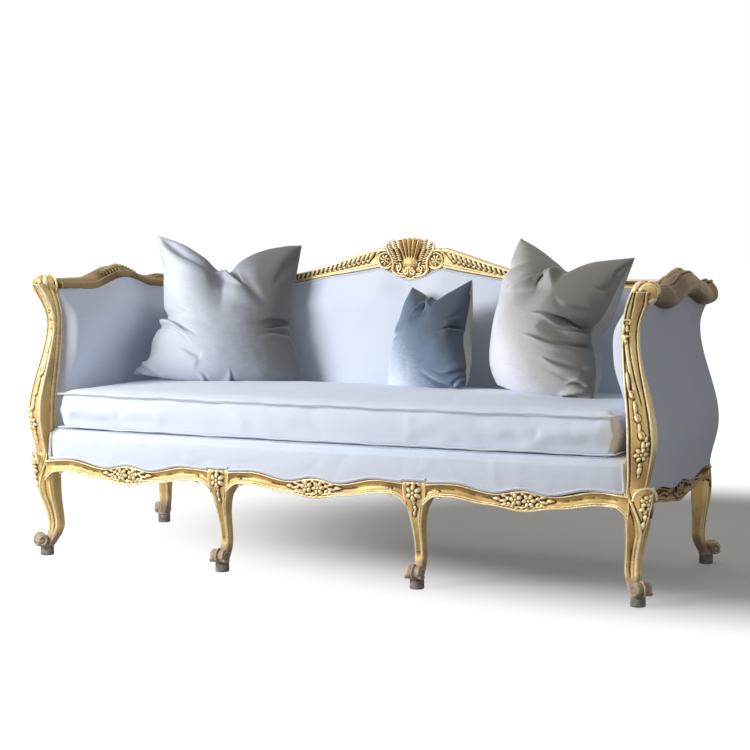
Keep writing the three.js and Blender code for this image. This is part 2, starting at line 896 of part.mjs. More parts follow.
// A wedge glued across an inner corner of the seat frame, on the right. The corner is where two
// rails' backs would meet, and towards is the way along Y that the frame opens.
function cornerBrace(cornerY, towards) {
  const corner = new THREE.Vector2(sideRailBack - fitGap, cornerY + towards * fitGap);
  const near = cornerBraceReach - cornerBraceThickness * Math.SQRT2;
  const shape = new THREE.Shape([
    new THREE.Vector2(corner.x - near, corner.y),
    new THREE.Vector2(corner.x - cornerBraceReach, corner.y),
    new THREE.Vector2(corner.x, corner.y + towards * cornerBraceReach),
    new THREE.Vector2(corner.x, corner.y + towards * near),
  ]);
  return layer(shape, braceFoot, braceTop - braceFoot);
}

// Seat webbing and cloth

// A rectangle with its four corners notched clear of the posts.
function notchedShape(half, front, rear, cutX, cutY) {
  const shape = new THREE.Shape();
  shape.moveTo(-half + cutX, front);
  shape.lineTo(half - cutX, front);
  shape.lineTo(half - cutX, front + cutY);
  shape.lineTo(half, front + cutY);
  shape.lineTo(half, rear - cutY);
  shape.lineTo(half - cutX, rear - cutY);
  shape.lineTo(half - cutX, rear);
  shape.lineTo(-half + cutX, rear);
  shape.lineTo(-half + cutX, rear - cutY);
  shape.lineTo(-half, rear - cutY);
  shape.lineTo(-half, front + cutY);
  shape.lineTo(-half + cutX, front + cutY);
  shape.closePath();
  return shape;
}

function layer(shape, foot, thickness) {
  return solidOf(
    new THREE.ExtrudeGeometry(shape, { depth: thickness, bevelEnabled: false }).translate(0, 0, foot),
  );
}

// A lattice of straps, each from rail to rail.
function webbing() {
  const foot = tackTop + fitGap;
  const shape = notchedShape(webbingX, webbingFront, webbingRear, notchX, notchY);
  const inX = webbingX - notchX;
  const inFront = webbingFront + notchY;
  const inRear = webbingRear - notchY;
  const pitchX = (2 * inX) / (crossStraps - 1);
  const pitchY = (inRear - inFront) / (longStraps - 1);
  let made = layer(shape, foot, webbingThickness);
  for (let i = 0; i + 1 < crossStraps; i++)
    for (let j = 0; j + 1 < longStraps; j++) {
      const x = -inX + i * pitchX + strapWidth / 2;
      const y = inFront + j * pitchY + strapWidth / 2;
      const low = vector(x, y, foot - overrun);
      const high = vector(x + pitchX - strapWidth, y + pitchY - strapWidth, foot + overrun);
      made = made.subtract(boxSolid(low, high));
    }
  return made;
}

const hessianFoot = tackTop + fitGap + webbingThickness + fitGap;
const padFoot = hessianFoot + hessianThickness + fitGap;

function hessian() {
  const shape = notchedShape(webbingX, webbingFront, webbingRear, notchX, notchY);
  return layer(shape, hessianFoot, hessianThickness);
}

function dustCover() {
  const half = sideRailBack - fitGap;
  const shape = notchedShape(half, railBack + fitGap, rearRailBack - fitGap, dustNotch, dustNotch);
  return layer(shape, braceFoot - fitGap - dustCoverThickness, dustCoverThickness);
}

// Upholstered walls

const wallFoot = railTop + faceWave / 2 + fitGap;
const coverTop = armTop - armRailDrop / 3;
const padTop = armTop - armRailDrop / 4;
const wallRowCount = 8;
const wallBayCount = 14;

// The outside cover of the right arm, which turns the rear corner.
function armCover(rail) {
  const from = postBack + fitGap;
  const turnSteps = 4;
  const surface = (inset) => (u, v) => {
    const z = lerp(wallFoot, coverTop, v);
    const x = outerX(z);
    const y = outerY(z) - cornerRadius;
    const step = u * (turnSteps + 1);
    if (step < 1) return vector(x - inset, from, z);
    const turn = ((step - 1) / turnSteps) * (Math.PI / 2);
    const reach = cornerRadius - inset;
    return vector(x - cornerRadius + reach * Math.cos(turn), y + reach * Math.sin(turn), z);
  };
  const cover = slab(turnSteps + 1, wallRowCount, surface(0), surface(coverThickness));
  return trimmed(cover, rail, vector(0, 0, -undercut));
}

function backCover(crest, rail) {
  const surface = (inset) => (u, v) => {
    const z = lerp(wallFoot, coverTop, v);
    const half = outerX(z) - cornerRadius - fitGap;
    const x = lerp(-half, half, u);
    const rise = Math.max(0, crestFootAt(x) - crestFootAt(crestFlatX)) * v;
    return vector(x, outerY(z) - inset, z + rise);
  };
  const cover = slab(wallBayCount, wallRowCount, surface(coverThickness), surface(0));
  const down = vector(0, 0, -undercut);
  const aside = [-undercut, undercut].map((x) => vector(x, 0, -undercut));
  const below = trimmed(cover, crest, down, ...aside);
  return trimmed(trimmed(below, rail, down, ...aside), rail.mirror([1, 0, 0]), down, ...aside);
}

// How much a pad's edge draws back, from 0 in its middle to 1 at an edge.
const edgeShare = (t, reach) => 1 - smoothstep(t, 0, reach);

// The stuffed inside of the right arm.
function armPad(rail) {
  const from = postBack + fitGap;
  const surface = (inset) => (u, v) => {
    const z = lerp(padFoot, padTop, v);
    const to = innerY(z) + backThickness / 2;
    const y = lerp(from, to, u);
    const edge = Math.max(edgeShare(u, 0.12) * smoothstep(v, 0.2, 0.45), edgeShare(1 - v, 0.2));
    const drawn = inset ? 0 : padCrown * edge;
    return vector(innerX(z) + inset + drawn, y, z + (armTopAt(y) - armTop) * v);
  };
  const pad = slab(12, wallRowCount, surface(padThickness), surface(0));
  return trimmed(pad, rail, vector(0, 0, -undercut));
}

// The stuffed inside of the back, between the two arms.
function backPad(crest) {
  const surface = (inset) => (u, v) => {
    const z = lerp(padFoot, padTop, v);
    const half = innerX(z) - fitGap;
    const x = lerp(-half, half, u);
    const rise = Math.max(0, crestFootAt(x) - crestFootAt(crestFlatX)) * v;
    const drawn = inset ? 0 : padCrown * edgeShare(1 - v, 0.2);
    return vector(x, innerY(z) + inset + drawn, z + rise);
  };
  const pad = slab(wallBayCount, wallRowCount, surface(0), surface(backThickness));
  return trimmed(pad, crest, vector(0, 0, -undercut));
}

// The stuffed seat under the loose cushion. Its front rolls down to the carved rail.
function seatDeck() {
  const half = seatInnerX - fitGap;
  const places = range(20).map((share) => lerp(-half, half, share));
  const lip = wallFoot;
  const rear = seatBackY - fitGap;
  return loft(
    places.map((x) => {
      const face = frontFace(x) + railRound;
      const behind = frontFace(x) + tackSetback - fitGap;
      return [
        [face, lip],
        [face - deckBulge, lerp(lip, deckTop, 0.3)],
        [face - deckBulge, lerp(lip, deckTop, 0.6)],
        [face - deckBulge / 2, deckTop - deckRoll / 2],
        [face + deckRoll / 2, deckTop],
        [rear, deckTop],
        [rear, padFoot],
        [behind, padFoot],
        [behind, lip],
      ].map(([y, z]) => new THREE.Vector2(y, z));
    }),
    (p, i) => vector(places[i], p.x, p.y),
  );
}

// Cushions

const cushionFoot = deckTop + fitGap;

// The loose seat cushion: two crowned panels, welted to a boxed border.
function seatCushion() {
  const rear = seatBackY - fitGap;
  const middleZ = cushionFoot + cushionHeight / 2;
  const surface = (side) => (u, v) => {
    const a = 2 * u - 1;
    const b = 2 * v - 1;
    const pullX = cushionPull * (1 - b * b) * Math.abs(a) ** 3 * Math.sign(a);
    const x = cushionHalf * a;
    const front = frontFace(x) + cushionSetback;
    const y = lerp(front, rear, v);
    const round = cushionCorner * (Math.abs(a) * Math.abs(b)) ** 8;
    const rim = Math.max(Math.abs(a) ** 12, Math.abs(b) ** 8);
    const crown = side > 0 ? cushionCrown * (1 - a ** 4) * (1 - b ** 4) : 0;
    const height = side * (cushionHeight / 2 - cushionEdge * rim) + crown;
    return vector(x - pullX - round * Math.sign(a), y - round * Math.sign(b), middleZ + height);
  };
  return slab(24, 10, surface(1), surface(-1));
}

const pillowPullShare = 0.13;
const chopWidthShare = 0.34;
const footLiftShare = 0.03;
const fullnessShare = 0.55;
const chopPinchShare = 0.35;

// A scatter cushion on its foot, facing -Y, with its foot's middle on the origin. It is sewn
// along its edges, stuffed in the middle, and dented along its head.
function pillow(width, headWidth, height, thickness, chop) {
  const surface = (side) => (u, v) => {
    const a = 2 * u - 1;
    const b = 2 * v - 1;
    const wide = lerp(width, headWidth, v) / 2;
    const pulled = 1 - pillowPullShare * (1 - b * b);
    const dent = chop * Math.exp(-((a / chopWidthShare) ** 2)) * v ** 3;
    const lift = height * footLiftShare * (1 - a * a) * (1 - v) ** 3;
    const full = ((1 - a ** 2) * (1 - b ** 2)) ** fullnessShare;
    const pinch = 1 - chopPinchShare * Math.exp(-((a / chopWidthShare) ** 2)) * v ** 4;
    return vector(
      wide * a * pulled,
      (side * thickness * full * pinch) / 2,
      height * v - dent + lift,
    );
  };
  return slab(14, 14, surface(-1), surface(1));
}

// Where the scatter cushions stand: x and y of the foot, lean back, turn and roll.
const leftPlace = { x: -544, y: 60, lean: degToRad(18), turn: degToRad(20), roll: degToRad(2) };
const smallPlace = { x: 133, y: 108, lean: degToRad(13), turn: degToRad(-21), roll: degToRad(-6) };
const rightPlace = { x: 521, y: 46, lean: degToRad(13), turn: degToRad(-25), roll: degToRad(3) };

function placed(solid, place, foot) {
  const pose = new THREE.Matrix4()
    .makeTranslation(place.x, place.y, foot)
    .multiply(new THREE.Matrix4().makeRotationZ(place.turn))
    .multiply(new THREE.Matrix4().makeRotationX(-place.lean))
    .multiply(new THREE.Matrix4().makeRotationY(place.roll));
  return solidOf(geometryOf(solid).applyMatrix4(pose));
}

// Assembly

const sofa = new THREE.Group();
sofa.name = 'cabriole_sofa';
const leftHalf = new THREE.Group();
leftHalf.scale.x = -1;
sofa.add(leftHalf);

function addPart(name, solid, material, group = sofa) {
  const mesh = new THREE.Mesh(geometryOf(solid), material.clone());
  mesh.name = name;
  group.add(mesh);
  return mesh;
}

// Adds a piece that is modelled on the right, and its mirror image on the left.
function addPair(name, solid, material) {
  addPart(`${name}_right`, solid, material);
  addPart(`${name}_left`, solid, material, leftHalf);
}

addPair(
  'leg_front',
  cornerLeg({
    footX: cornerFootX,
    footY: frontFootLine,
    blockX: cornerBlockX,
    blockY: cornerBlockY,
    half: cornerBlockHalf,
    setback: ankleSetback,
    shares: cornerLegShares,
    top: legTop,
    towards: -1,
  }),
  gilt,
);
addPair(
  'leg_rear',
  cornerLeg({
    footX: rearFootX,
    footY: rearFootLine,
    blockX: rearBlockX,
    blockY: rearBlockY,
    half: rearBlockHalf,
    setback: rearAnkleSetback,
    shares: rearLegShares,
    top: lowLegTop,
    towards: 1,
  }),
  gilt,
);
addPair('leg_middle', middleLeg(), gilt);

const footPlaces = {
  foot_front: [cornerFootX, frontFootLine],
  foot_middle: [middleFootX, middleFootLine],
  foot_rear: [rearFootX, rearFootLine],
};
const pad = footPad();
for (const [name, [x, y]] of Object.entries(footPlaces))
  for (const side of [-1, 1]) {
    const mesh = addPart(`${name}_${side < 0 ? 'left' : 'right'}`, pad, wornGilt);
    mesh.position.set(side * x, y, 0);
  }

const innerBay = middleFootX - middleBlockHalf - fitGap;
const outerBayFrom = middleFootX + middleBlockHalf + fitGap;
const outerBayTo = cornerBlockX - cornerBlockHalf - fitGap;
addPart('front_rail_centre', frontRail(-innerBay, innerBay), gilt);
addPair('front_rail', frontRail(outerBayFrom, outerBayTo), gilt);
addPair(
  'side_rail',
  sideRail(postBack + fitGap, rearBlockY - rearBlockHalf - fitGap),
  gilt,
);
addPart('rear_rail', rearRail(rearBlockX - rearBlockHalf - fitGap), gilt);

const rightArmRail = armRail();
const rightCrest = crestRail();
const shell = crestShell();
const wholeCrest = rightCrest.add(rightCrest.mirror([1, 0, 0])).add(shell);
addPair('arm_post', armPost(), gilt);
addPair('arm_rail', rightArmRail, gilt);
addPair('crest_rail', rightCrest, gilt);
addPart('crest_shell', shell, gilt);

addPair('back_post', backPost(rightArmRail), beech);
addPair('arm_stay', armStay(), beech);
addPart('back_stay', backStay(), beech);
addPair('back_stile', backStile(wholeCrest), beech);
addPair('seat_brace', seatBrace(), beech);
addPair('corner_brace_front', cornerBrace(railBack, 1), beech);
addPair('corner_brace_rear', cornerBrace(rearRailBack, -1), beech);

addPart('seat_webbing', webbing(), jute);
addPart('seat_hessian', hessian(), jute);
addPart('dust_cover', dustCover(), cambric);

addPair('arm_cover', armCover(rightArmRail), linen);
addPair('arm_pad', armPad(rightArmRail), linen);
addPart('back_cover', backCover(wholeCrest, rightArmRail), linen);
addPart('back_pad', backPad(wholeCrest), linen);
addPart('seat_deck', seatDeck(), linen);

const cushion = seatCushion();
addPart('seat_cushion', cushion, linen);

const cushionTop = cushionFoot + cushionHeight;
const leftPillow = pillow(leftWidth, leftHeadWidth, leftHeight, leftThickness, leftChop);
const smallPillow = pillow(smallWidth, smallHeadWidth, smallHeight, smallThickness, smallChop);
const rightPillow = pillow(rightWidth, rightHeadWidth, rightHeight, rightThickness, rightChop);
const resting = (solid, place) =>
  trimmed(
    placed(solid, place, cushionTop - pillowSink + cushionCrown / 2),
    cushion,
    vector(0, 0, undercut),
  );
addPart('pillow_left', resting(leftPillow, leftPlace), silverVelvet);
addPart('pillow_small', resting(smallPillow, smallPlace), blueVelvet);
addPart('pillow_right', resting(rightPillow, rightPlace), silverVelvet);

export default sofa;
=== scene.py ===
"""A carved and gilded cabriole sofa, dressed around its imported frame.

Metres. +X runs along the sofa, -Y is the front and +Z is up, as in the frame.
"""

import math

import bmesh
import bpy
import numpy as np
from mathutils import Matrix, Vector


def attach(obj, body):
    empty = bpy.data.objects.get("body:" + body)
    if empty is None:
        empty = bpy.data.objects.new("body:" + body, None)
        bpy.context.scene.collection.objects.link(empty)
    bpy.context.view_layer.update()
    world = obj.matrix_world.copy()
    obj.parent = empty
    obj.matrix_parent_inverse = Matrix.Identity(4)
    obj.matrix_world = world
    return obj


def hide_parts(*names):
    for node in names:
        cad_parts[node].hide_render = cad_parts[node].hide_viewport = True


bl_info = {
    "name": "Cabriole sofa",
    "version": (1, 0, 0),
    "blender": (4, 5, 0),
    "location": "3D View > Sidebar > Sofa",
    "description": "Carves, gilds and upholsters a cabriole sofa around its frame",
    "category": "Add Mesh",
}

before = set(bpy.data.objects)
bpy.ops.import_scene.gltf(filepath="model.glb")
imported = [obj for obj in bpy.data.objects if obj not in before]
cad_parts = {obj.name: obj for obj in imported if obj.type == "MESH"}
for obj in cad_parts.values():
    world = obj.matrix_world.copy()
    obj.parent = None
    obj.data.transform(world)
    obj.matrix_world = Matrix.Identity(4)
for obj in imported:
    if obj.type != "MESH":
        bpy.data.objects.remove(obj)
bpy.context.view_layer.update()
PAIR = (("right", 1), ("left", -1))


# Sizes and colours that a user would change


def length(name, description, default, low=0.0):
    return bpy.props.FloatProperty(
        name=name, description=description, default=default, min=low, unit="LENGTH", precision=4
    )


def share(name, description, default):
    return bpy.props.FloatProperty(
        name=name, description=description, default=default, min=0, max=1, subtype="FACTOR"
    )


def colour(name, description, default):
    return bpy.props.FloatVectorProperty(
        name=name, description=description, default=default, min=0, max=1, size=3, subtype="COLOR"
    )


class SofaSizes(bpy.types.PropertyGroup):
    """Sizes of the carving and the upholstery."""

    wood_grain: length("Carving voxel", "Finest detail of the carved wood", 0.0015, 0.0005)
    shell_grain: length("Shell voxel", "Finest detail of the crest's shell", 0.0011, 0.0005)
    cove: length("Cove", "Depth of the hollow moulding on rails and legs", 0.006)
    bead: length("Bead", "Height of the thin beads along the mouldings", 0.0024)
    flower: length("Flower", "Radius of a carved flower", 0.019)
    welt: length("Welt", "Radius of the piping on the cushion", 0.0024)
    gimp: length("Gimp", "Width of the braid that hides the tacks", 0.009)
    cushion_puff: length("Cushion puff", "How far the seat cushion may swell", 0.007)
    pillow_puff: length("Pillow puff", "How far a scatter cushion may swell", 0.012)
    fold: share("Fold", "Depth of the folds in the scatter cushions", 1.0)
    cloth_grain: length("Cloth voxel", "Mesh size of the seat cushion's simulated cover", 0.008, 0.004)
    wear: share("Wear", "How much of the gilding is rubbed away", 0.45)


class SofaColours(bpy.types.PropertyGroup):
    """Colours of the finishes."""

    gold: colour("Gold", "Gilding on the open surfaces", (0.76, 0.52, 0.18))
    # Pale rubbed gold for the high places of the carving, which also paints the highlights there.
    rubbed_gold_and_highlight: colour("Rubbed gold", "Burnished edges", (0.98, 0.87, 0.56))
    # Brown of tarnished gilding, also used as painted shade on faces that look down and on the darker gilt
    # copy.
    tarnish_and_shade: colour("Tarnish", "Gilding that has gone brown", (0.3, 0.16, 0.035))
    # The brown under the leaf, seen through real scratches and painted as shade in the hollows.
    ground_and_shade: colour("Ground", "Brown ground in the hollows", (0.06, 0.025, 0.006))
    bole: colour("Bole", "Pinkish clay where the gold has gone", (0.52, 0.3, 0.21))
    pad: colour("Foot pads", "Worn grey of the pads under the legs", (0.2, 0.185, 0.165))
    linen: colour("Linen", "Upholstery", (0.76, 0.82, 0.94))
    welt: colour("Welts", "Piping and braid", (0.74, 0.77, 0.83))
    # Each velvet has its own colour, with a shaded copy for painted shade and a lit copy for painted light.
    silver: colour("Silver velvet", "Left scatter cushion", (0.4, 0.43, 0.49))
    silver_painted_shade: colour("Deep silver", "Its pile where it leans away", (0.14, 0.145, 0.15))
    silver_painted_light: colour("Bright silver", "Its pile where it leans to the light", (0.7, 0.74, 0.81))
    greige: colour("Greige velvet", "Right scatter cushion", (0.47, 0.455, 0.44))
    greige_painted_shade: colour("Deep greige", "Its pile where it leans away", (0.17, 0.16, 0.14))
    greige_painted_light: colour("Bright greige", "Its pile where it leans to the light", (0.88, 0.89, 0.93))
    blue: colour("Blue velvet", "Small scatter cushion", (0.14, 0.2, 0.29))
    blue_painted_shade: colour("Deep blue", "Its pile where it leans away", (0.035, 0.05, 0.075))
    blue_painted_light: colour("Bright blue", "Its pile where it leans to the light", (0.76, 0.83, 0.97))
    backing: colour("Backing", "Linen back of the scatter cushions", (0.33, 0.31, 0.28))
    beech: colour("Beech", "Hidden frame", (0.46, 0.29, 0.15))
    jute: colour("Jute", "Webbing and hessian", (0.38, 0.28, 0.15))
    cambric: colour("Cambric", "Dust cover under the seat", (0.03, 0.03, 0.035))
    floor: colour("Floor", "Floor under the sofa", (0.4, 0.39, 0.375))


def sizes():
    return bpy.context.scene.sofa_sizes


def colours():
    return bpy.context.scene.sofa_colours


# Curves that the pieces share with the frame


def mix(a, b, t):
    return a + (b - a) * t


def circle(count):
    return np.linspace(0, 2 * math.pi, count, endpoint=False)


def parts(points):
    """The x, y and z of an array of points."""
    return np.moveaxis(points, -1, 0)


def xyz(x, y, z):
    """Points from their coordinates, each of them an array or a number."""
    return np.stack(np.broadcast_arrays(x, y, z), -1)


def sided(side, path, middle=0.0):
    """A path that is drawn to the right of the middle, laid out on one side of it."""
    return [(middle + side * x, y) for x, y in path]


def spaced(stops, counts):
    """Numbers from the first stop to the last, with a count of its own from stop to stop."""
    runs = [np.linspace(*pair, count) for *pair, count in zip(stops, stops[1:], counts)]
    return np.concatenate([run[:-1] for run in runs[:-1]] + runs[-1:])


def smooth(t, low, high):
    t = np.clip((np.asarray(t, float) - low) / (high - low), 0, 1)
    return t * t * (3 - 2 * t)


def bump(t, centre, half):
    """A round bead's height, from 0 at its edges to 1 on its crest."""
    return np.sqrt(np.clip(1 - ((np.asarray(t, float) - centre) / half) ** 2, 0, 1))


def bell(t, centre, half):
    return np.exp(-(((np.asarray(t, float) - centre) / half) ** 2))


def curve(table, at):
    """Reads a table of rows (position, value, ...) with a smooth curve through its rows."""
    table = np.asarray(table, float)
    x, values = table[:, 0], table[:, 1:]
    slopes = np.gradient(values, x, axis=0)
    at = np.clip(np.asarray(at, float), x[0], x[-1])
    i = np.clip(np.searchsorted(x, at) - 1, 0, len(x) - 2)
    step = (x[i + 1] - x[i])[..., None]
    t = ((at - x[i]) / (x[i + 1] - x[i]))[..., None]
    a, b, da, db = values[i], values[i + 1], slopes[i] * step, slopes[i + 1] * step
    made = (
        (2 * t**3 - 3 * t**2 + 1) * a
        + (t**3 - 2 * t**2 + t) * da
        + (3 * t**2 - 2 * t**3) * b
        + (t**3 - t**2) * db
    )
    return made[..., 0] if values.shape[1] == 1 else made


RAIL_TOP, LEG_TOP, LOW_LEG_TOP = 0.288, 0.308, 0.294
BULGE, WAIST, FLARE = 0.425, 0.7, 0.9
FOOT_SWAY, BULGE_SWAY, FLARE_SWAY = 0.029, 0.051, 0.072
ARM_TOP, DECK_TOP, SEAT_TOP = 0.827, 0.382, 0.4943
WALL_FOOT, PAD_FOOT, WALL_HEAD = 0.2948, 0.3299, 0.7965
POST_BACK = -0.2938
HUMP = 0.047  # where the arm rail's hump stands
DIP = 0.036  # how far the shell dips into the back's cover
PAD_TOP = 0.0263
FRONT_FOOT, MIDDLE_FOOT, REAR_FOOT = (0.914, -0.333), (0.302, -0.352), (0.92, 0.348)
# Ends of the front rail's middle bay and of its right bay
MIDDLE_BAY, OUTER_BAY = (-0.2677, 0.2677), (0.3363, 0.8745)
SIDE_BAY = (-0.2938, 0.307)
SEAT_ROOM = (0.905, -0.334, 0.334)  # half width, front and rear of what is tacked over the rails


def sway(z):
    """How far a wall leans out from its waist at a height."""
    z = np.asarray(z, float)
    low = mix(FOOT_SWAY, BULGE_SWAY, smooth(z, RAIL_TOP, BULGE))
    middle = mix(BULGE_SWAY, 0, smooth(z, BULGE, WAIST))
    high = FLARE_SWAY * smooth(z, WAIST, FLARE)
    return np.where(z < BULGE, low, np.where(z < WAIST, middle, high))


def outer_x(z):
    return 0.905 + sway(z)


def outer_y(z):
    return 0.329 + 0.6 * sway(z)


def inner_x(z):
    low = mix(0.872, 0.835, smooth(z, 0.5, WAIST))
    return np.where(z < WAIST, low, mix(0.835, 0.866, smooth(z, WAIST, 0.8)))


def inner_y(z):
    low = mix(0.242, 0.262, smooth(z, DECK_TOP, WAIST))
    return np.where(z < WAIST, low, mix(0.262, 0.289, smooth(z, WAIST, 0.8)))


def front_face(x):
    return -0.353 - 0.024 * (1 - (np.asarray(x, float) / 0.914) ** 2)


def arm_top(y):
    t = np.minimum(1, np.abs(np.asarray(y, float) - HUMP) / 0.19)
    return ARM_TOP + 0.033 * np.cos(t * math.pi / 2) ** 2


CREST_RISE = [(0, 0), (0.2, 0.16), (0.42, 0.46), (0.63, 0.79), (0.79, 1), (1, 1)]


def crest_way(x):
    return np.maximum(0, 1 - np.abs(np.asarray(x, float)) / 0.45)


def crest_top(x):
    rise = curve(CREST_RISE, crest_way(x))
    return 0.825 + 0.092 * np.clip(rise, 0, 1)


def crest_foot(x):
    return crest_top(x) - mix(0.026, 0.058, smooth(crest_way(x), 0.2, 0.8))


def crest_lift(x):
    """How far the back's upholstery rises over the walls' head, under the crest."""
    return np.maximum(0, crest_foot(x) - crest_foot(0.45))


# Forms


class Form:
    """The points and faces of a piece while it is being made."""

    def __init__(self):
        self.points, self.quads, self.tris, self.count = [], [], [], 0

    def put(self, points):
        first = self.count
        points = np.asarray(points, float).reshape(-1, 3)
        self.points.append(points)
        self.count += len(points)
        return first

    def skin(self, rings, closed=True, capped=True):
        """Skins a row of outlines, given as an array of (outlines, points, 3)."""
        rings = np.asarray(rings, float)
        rows, count = rings.shape[:2]
        first = self.put(rings)
        i = np.arange(rows - 1)[:, None] * count
        k = np.arange(count if closed else count - 1)[None]
        after = (k + 1) % count
        quads = np.stack([i + k, i + after, i + count + after, i + count + k], -1)
        self.quads.append(first + quads.reshape(-1, 4))
        if closed and capped:
            here, there = np.arange(count), (np.arange(count) + 1) % count
            for row, turned in ((0, True), (rows - 1, False)):
                hub = np.full(count, self.put(rings[row].mean(0)))
                a, b = first + row * count + here, first + row * count + there
                self.tris.append(np.stack([b, a, hub] if turned else [a, b, hub], -1))
        return self

    def tube(self, path, radius, sides=10, flat=1.0, out=None):
        """A round or flattened rod along a path, with closed ends."""
        path = np.asarray(path, float)
        radius = np.broadcast_to(np.asarray(radius, float), len(path)).copy()
        along = np.gradient(path, axis=0)
        along /= np.linalg.norm(along, axis=1)[:, None] + 1e-12
        up = (0.31, 0.17, 0.93) if out is None else out
        up = np.broadcast_to(np.asarray(up, float), path.shape)
        side = np.cross(along, up)
        side /= np.linalg.norm(side, axis=1)[:, None] + 1e-12
        up = np.cross(side, along)
        turn = np.linspace(0, 2 * math.pi, sides, endpoint=False)
        ring = side[:, None] * np.cos(turn)[None, :, None]
        ring = ring + flat * up[:, None] * np.sin(turn)[None, :, None]
        return self.skin(path[:, None] + radius[:, None, None] * ring)

    def mesh(self, name):
        mesh = bpy.data.meshes.new(name)
        faces = [face.tolist() for part in (*self.quads, *self.tris) for face in part]
        mesh.from_pydata(np.concatenate(self.points).tolist(), [], faces)
        mesh.update()
        return mesh


def linked(name, mesh):
    made = bpy.data.objects.new(name, mesh)
    bpy.context.scene.collection.objects.link(made)
    return made


def baked(obj):
    """The object's mesh with its modifiers in it. The object itself goes."""
    graph = bpy.context.evaluated_depsgraph_get()
    mesh = bpy.data.meshes.new_from_object(obj.evaluated_get(graph), depsgraph=graph)
    old = obj.data
    bpy.data.objects.remove(obj)
    bpy.data.meshes.remove(old)
    return mesh


def points_of(mesh):
    points = np.empty(len(mesh.vertices) * 3)
    mesh.vertices.foreach_get("co", points)
    return points.reshape(-1, 3)


def set_points(mesh, points):
    mesh.vertices.foreach_set("co", np.ascontiguousarray(points, float).ravel())
    mesh.update()


def normals_of(mesh):
    normals = np.empty(len(mesh.vertices) * 3)
    mesh.vertex_normals.foreach_get("vector", normals)
    return normals.reshape(-1, 3)


def edges_of(mesh):
    edges = np.empty(len(mesh.edges) * 2, dtype=np.int64)
    mesh.edges.foreach_get("vertices", edges)
    return edges.reshape(-1, 2)


def averaged(values, edges, rounds, weight=0.5):
    """Values at the points, drawn towards those of their neighbours."""
    count = len(values)
    ends = np.concatenate([edges[:, 0], edges[:, 1]])
    others = np.concatenate([edges[:, 1], edges[:, 0]])
    share_of = 1 / np.maximum(1, np.bincount(ends, minlength=count))
    values = values.copy()
    for step in range(rounds):
        amount = weight if np.isscalar(weight) else weight[step % len(weight)]
        means = np.stack(
            [np.bincount(ends, values[others, i], count) * share_of for i in range(values.shape[1])], 1
        )
        values += amount * (means - values)
    return values


def keep(mesh, name, values):
    made = mesh.attributes.new(name, "FLOAT", "POINT")
    made.data.foreach_set("value", np.ascontiguousarray(values, dtype=np.float32))


def carved(form, grain, rounds=2):
    """One skin over all of a form's bodies, softened like worn carving, with its relief kept."""
    rough = linked("rough", form.mesh("rough"))
    skin = rough.modifiers.new("skin", "REMESH")
    skin.mode = "VOXEL"
    skin.voxel_size = grain
    mesh = baked(rough)
    edges = edges_of(mesh)
    points = averaged(points_of(mesh), edges, 2 * rounds, (0.55, -0.5))
    set_points(mesh, points)
    normals = normals_of(mesh)
    near = averaged(points, edges, 5)
    far = averaged(near, edges, 28)
    fine = ((points - near) * normals).sum(1)
    broad = ((points - far) * normals).sum(1)
    relief = fine / max(np.std(fine), 0.12 * grain) + 0.45 * broad / max(np.std(broad), 0.35 * grain)
    relief = averaged(relief[:, None], edges, 1)[:, 0]
    keep(mesh, "relief", np.clip(0.5 + 0.2 * relief, 0, 1))
    # under, how far each face looks down, drives painted shade in the gilt.
    keep(mesh, "under", np.clip(0.5 - 0.5 * normals[:, 2], 0, 1))
    mesh.shade_smooth()
    return mesh


def outward(mesh):
    """Joins a mesh's seams and turns its faces out."""
    work = bmesh.new()
    work.from_mesh(mesh)
    bmesh.ops.remove_doubles(work, verts=work.verts, dist=1e-6)
    bmesh.ops.recalc_face_normals(work, faces=work.faces)
    if work.calc_volume(signed=True) < 0:
        bmesh.ops.reverse_faces(work, faces=work.faces)
    work.to_mesh(mesh)
    work.free()


def closed(form, name):
    mesh = form.mesh(name)
    outward(mesh)
    mesh.shade_smooth()
    return mesh


def mirrored(mesh):
    made = mesh.copy()
    set_points(made, points_of(made) * (-1, 1, 1))
    made.flip_normals()
    return made


def dress(name, mesh, material, nodes, body="frame"):
    """A finished piece, which stands for some nodes of the frame."""
    piece = linked(name, mesh)
    mesh.name = name
    mesh.materials.clear()
    for one in material if isinstance(material, (list, tuple)) else [material]:
        mesh.materials.append(one)
    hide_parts(*nodes)
    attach(piece, body)
    return piece


def dress_pair(name, mesh, material, nodes):
    """A piece that is made on the right, and its mirror image."""
    made = []
    for side, sign in PAIR:
        own = mesh if sign > 0 else mirrored(mesh)
        made.append(dress(f"{name}_{side}", own, material, [f"{n}_{side}" for n in nodes]))
    return made


def trim(name, mesh, material, body="frame"):
    """A braid or a welt, which stands for no node of its own."""
    mesh.materials.clear()
    mesh.materials.append(material)
    piece = linked(name, mesh)
    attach(piece, body)


# Ornaments, in the plane of a surface: x along it, y up it and z out of it. onto() lays
# an array of such points on the real surface.


def turned(points, centre, turn):
    c, s = math.cos(turn), math.sin(turn)
    x, y, z = parts(points)
    return xyz(centre[0] + c * x - s * y, centre[1] + s * x + c * y, z)


def boss(form, onto, centre, radii, turn=0.0, lift=0.0):
    """A rounded lump, longest along its turn."""
    u = np.linspace(0.04, math.pi - 0.04, 9)[:, None]
    v = circle(14)[None]
    across = radii[1] * np.sin(u) * np.cos(v)
    rings = xyz(radii[0] * np.cos(u), across, lift + radii[2] * np.sin(u) * np.sin(v))
    form.skin(onto(turned(rings, centre, turn)))


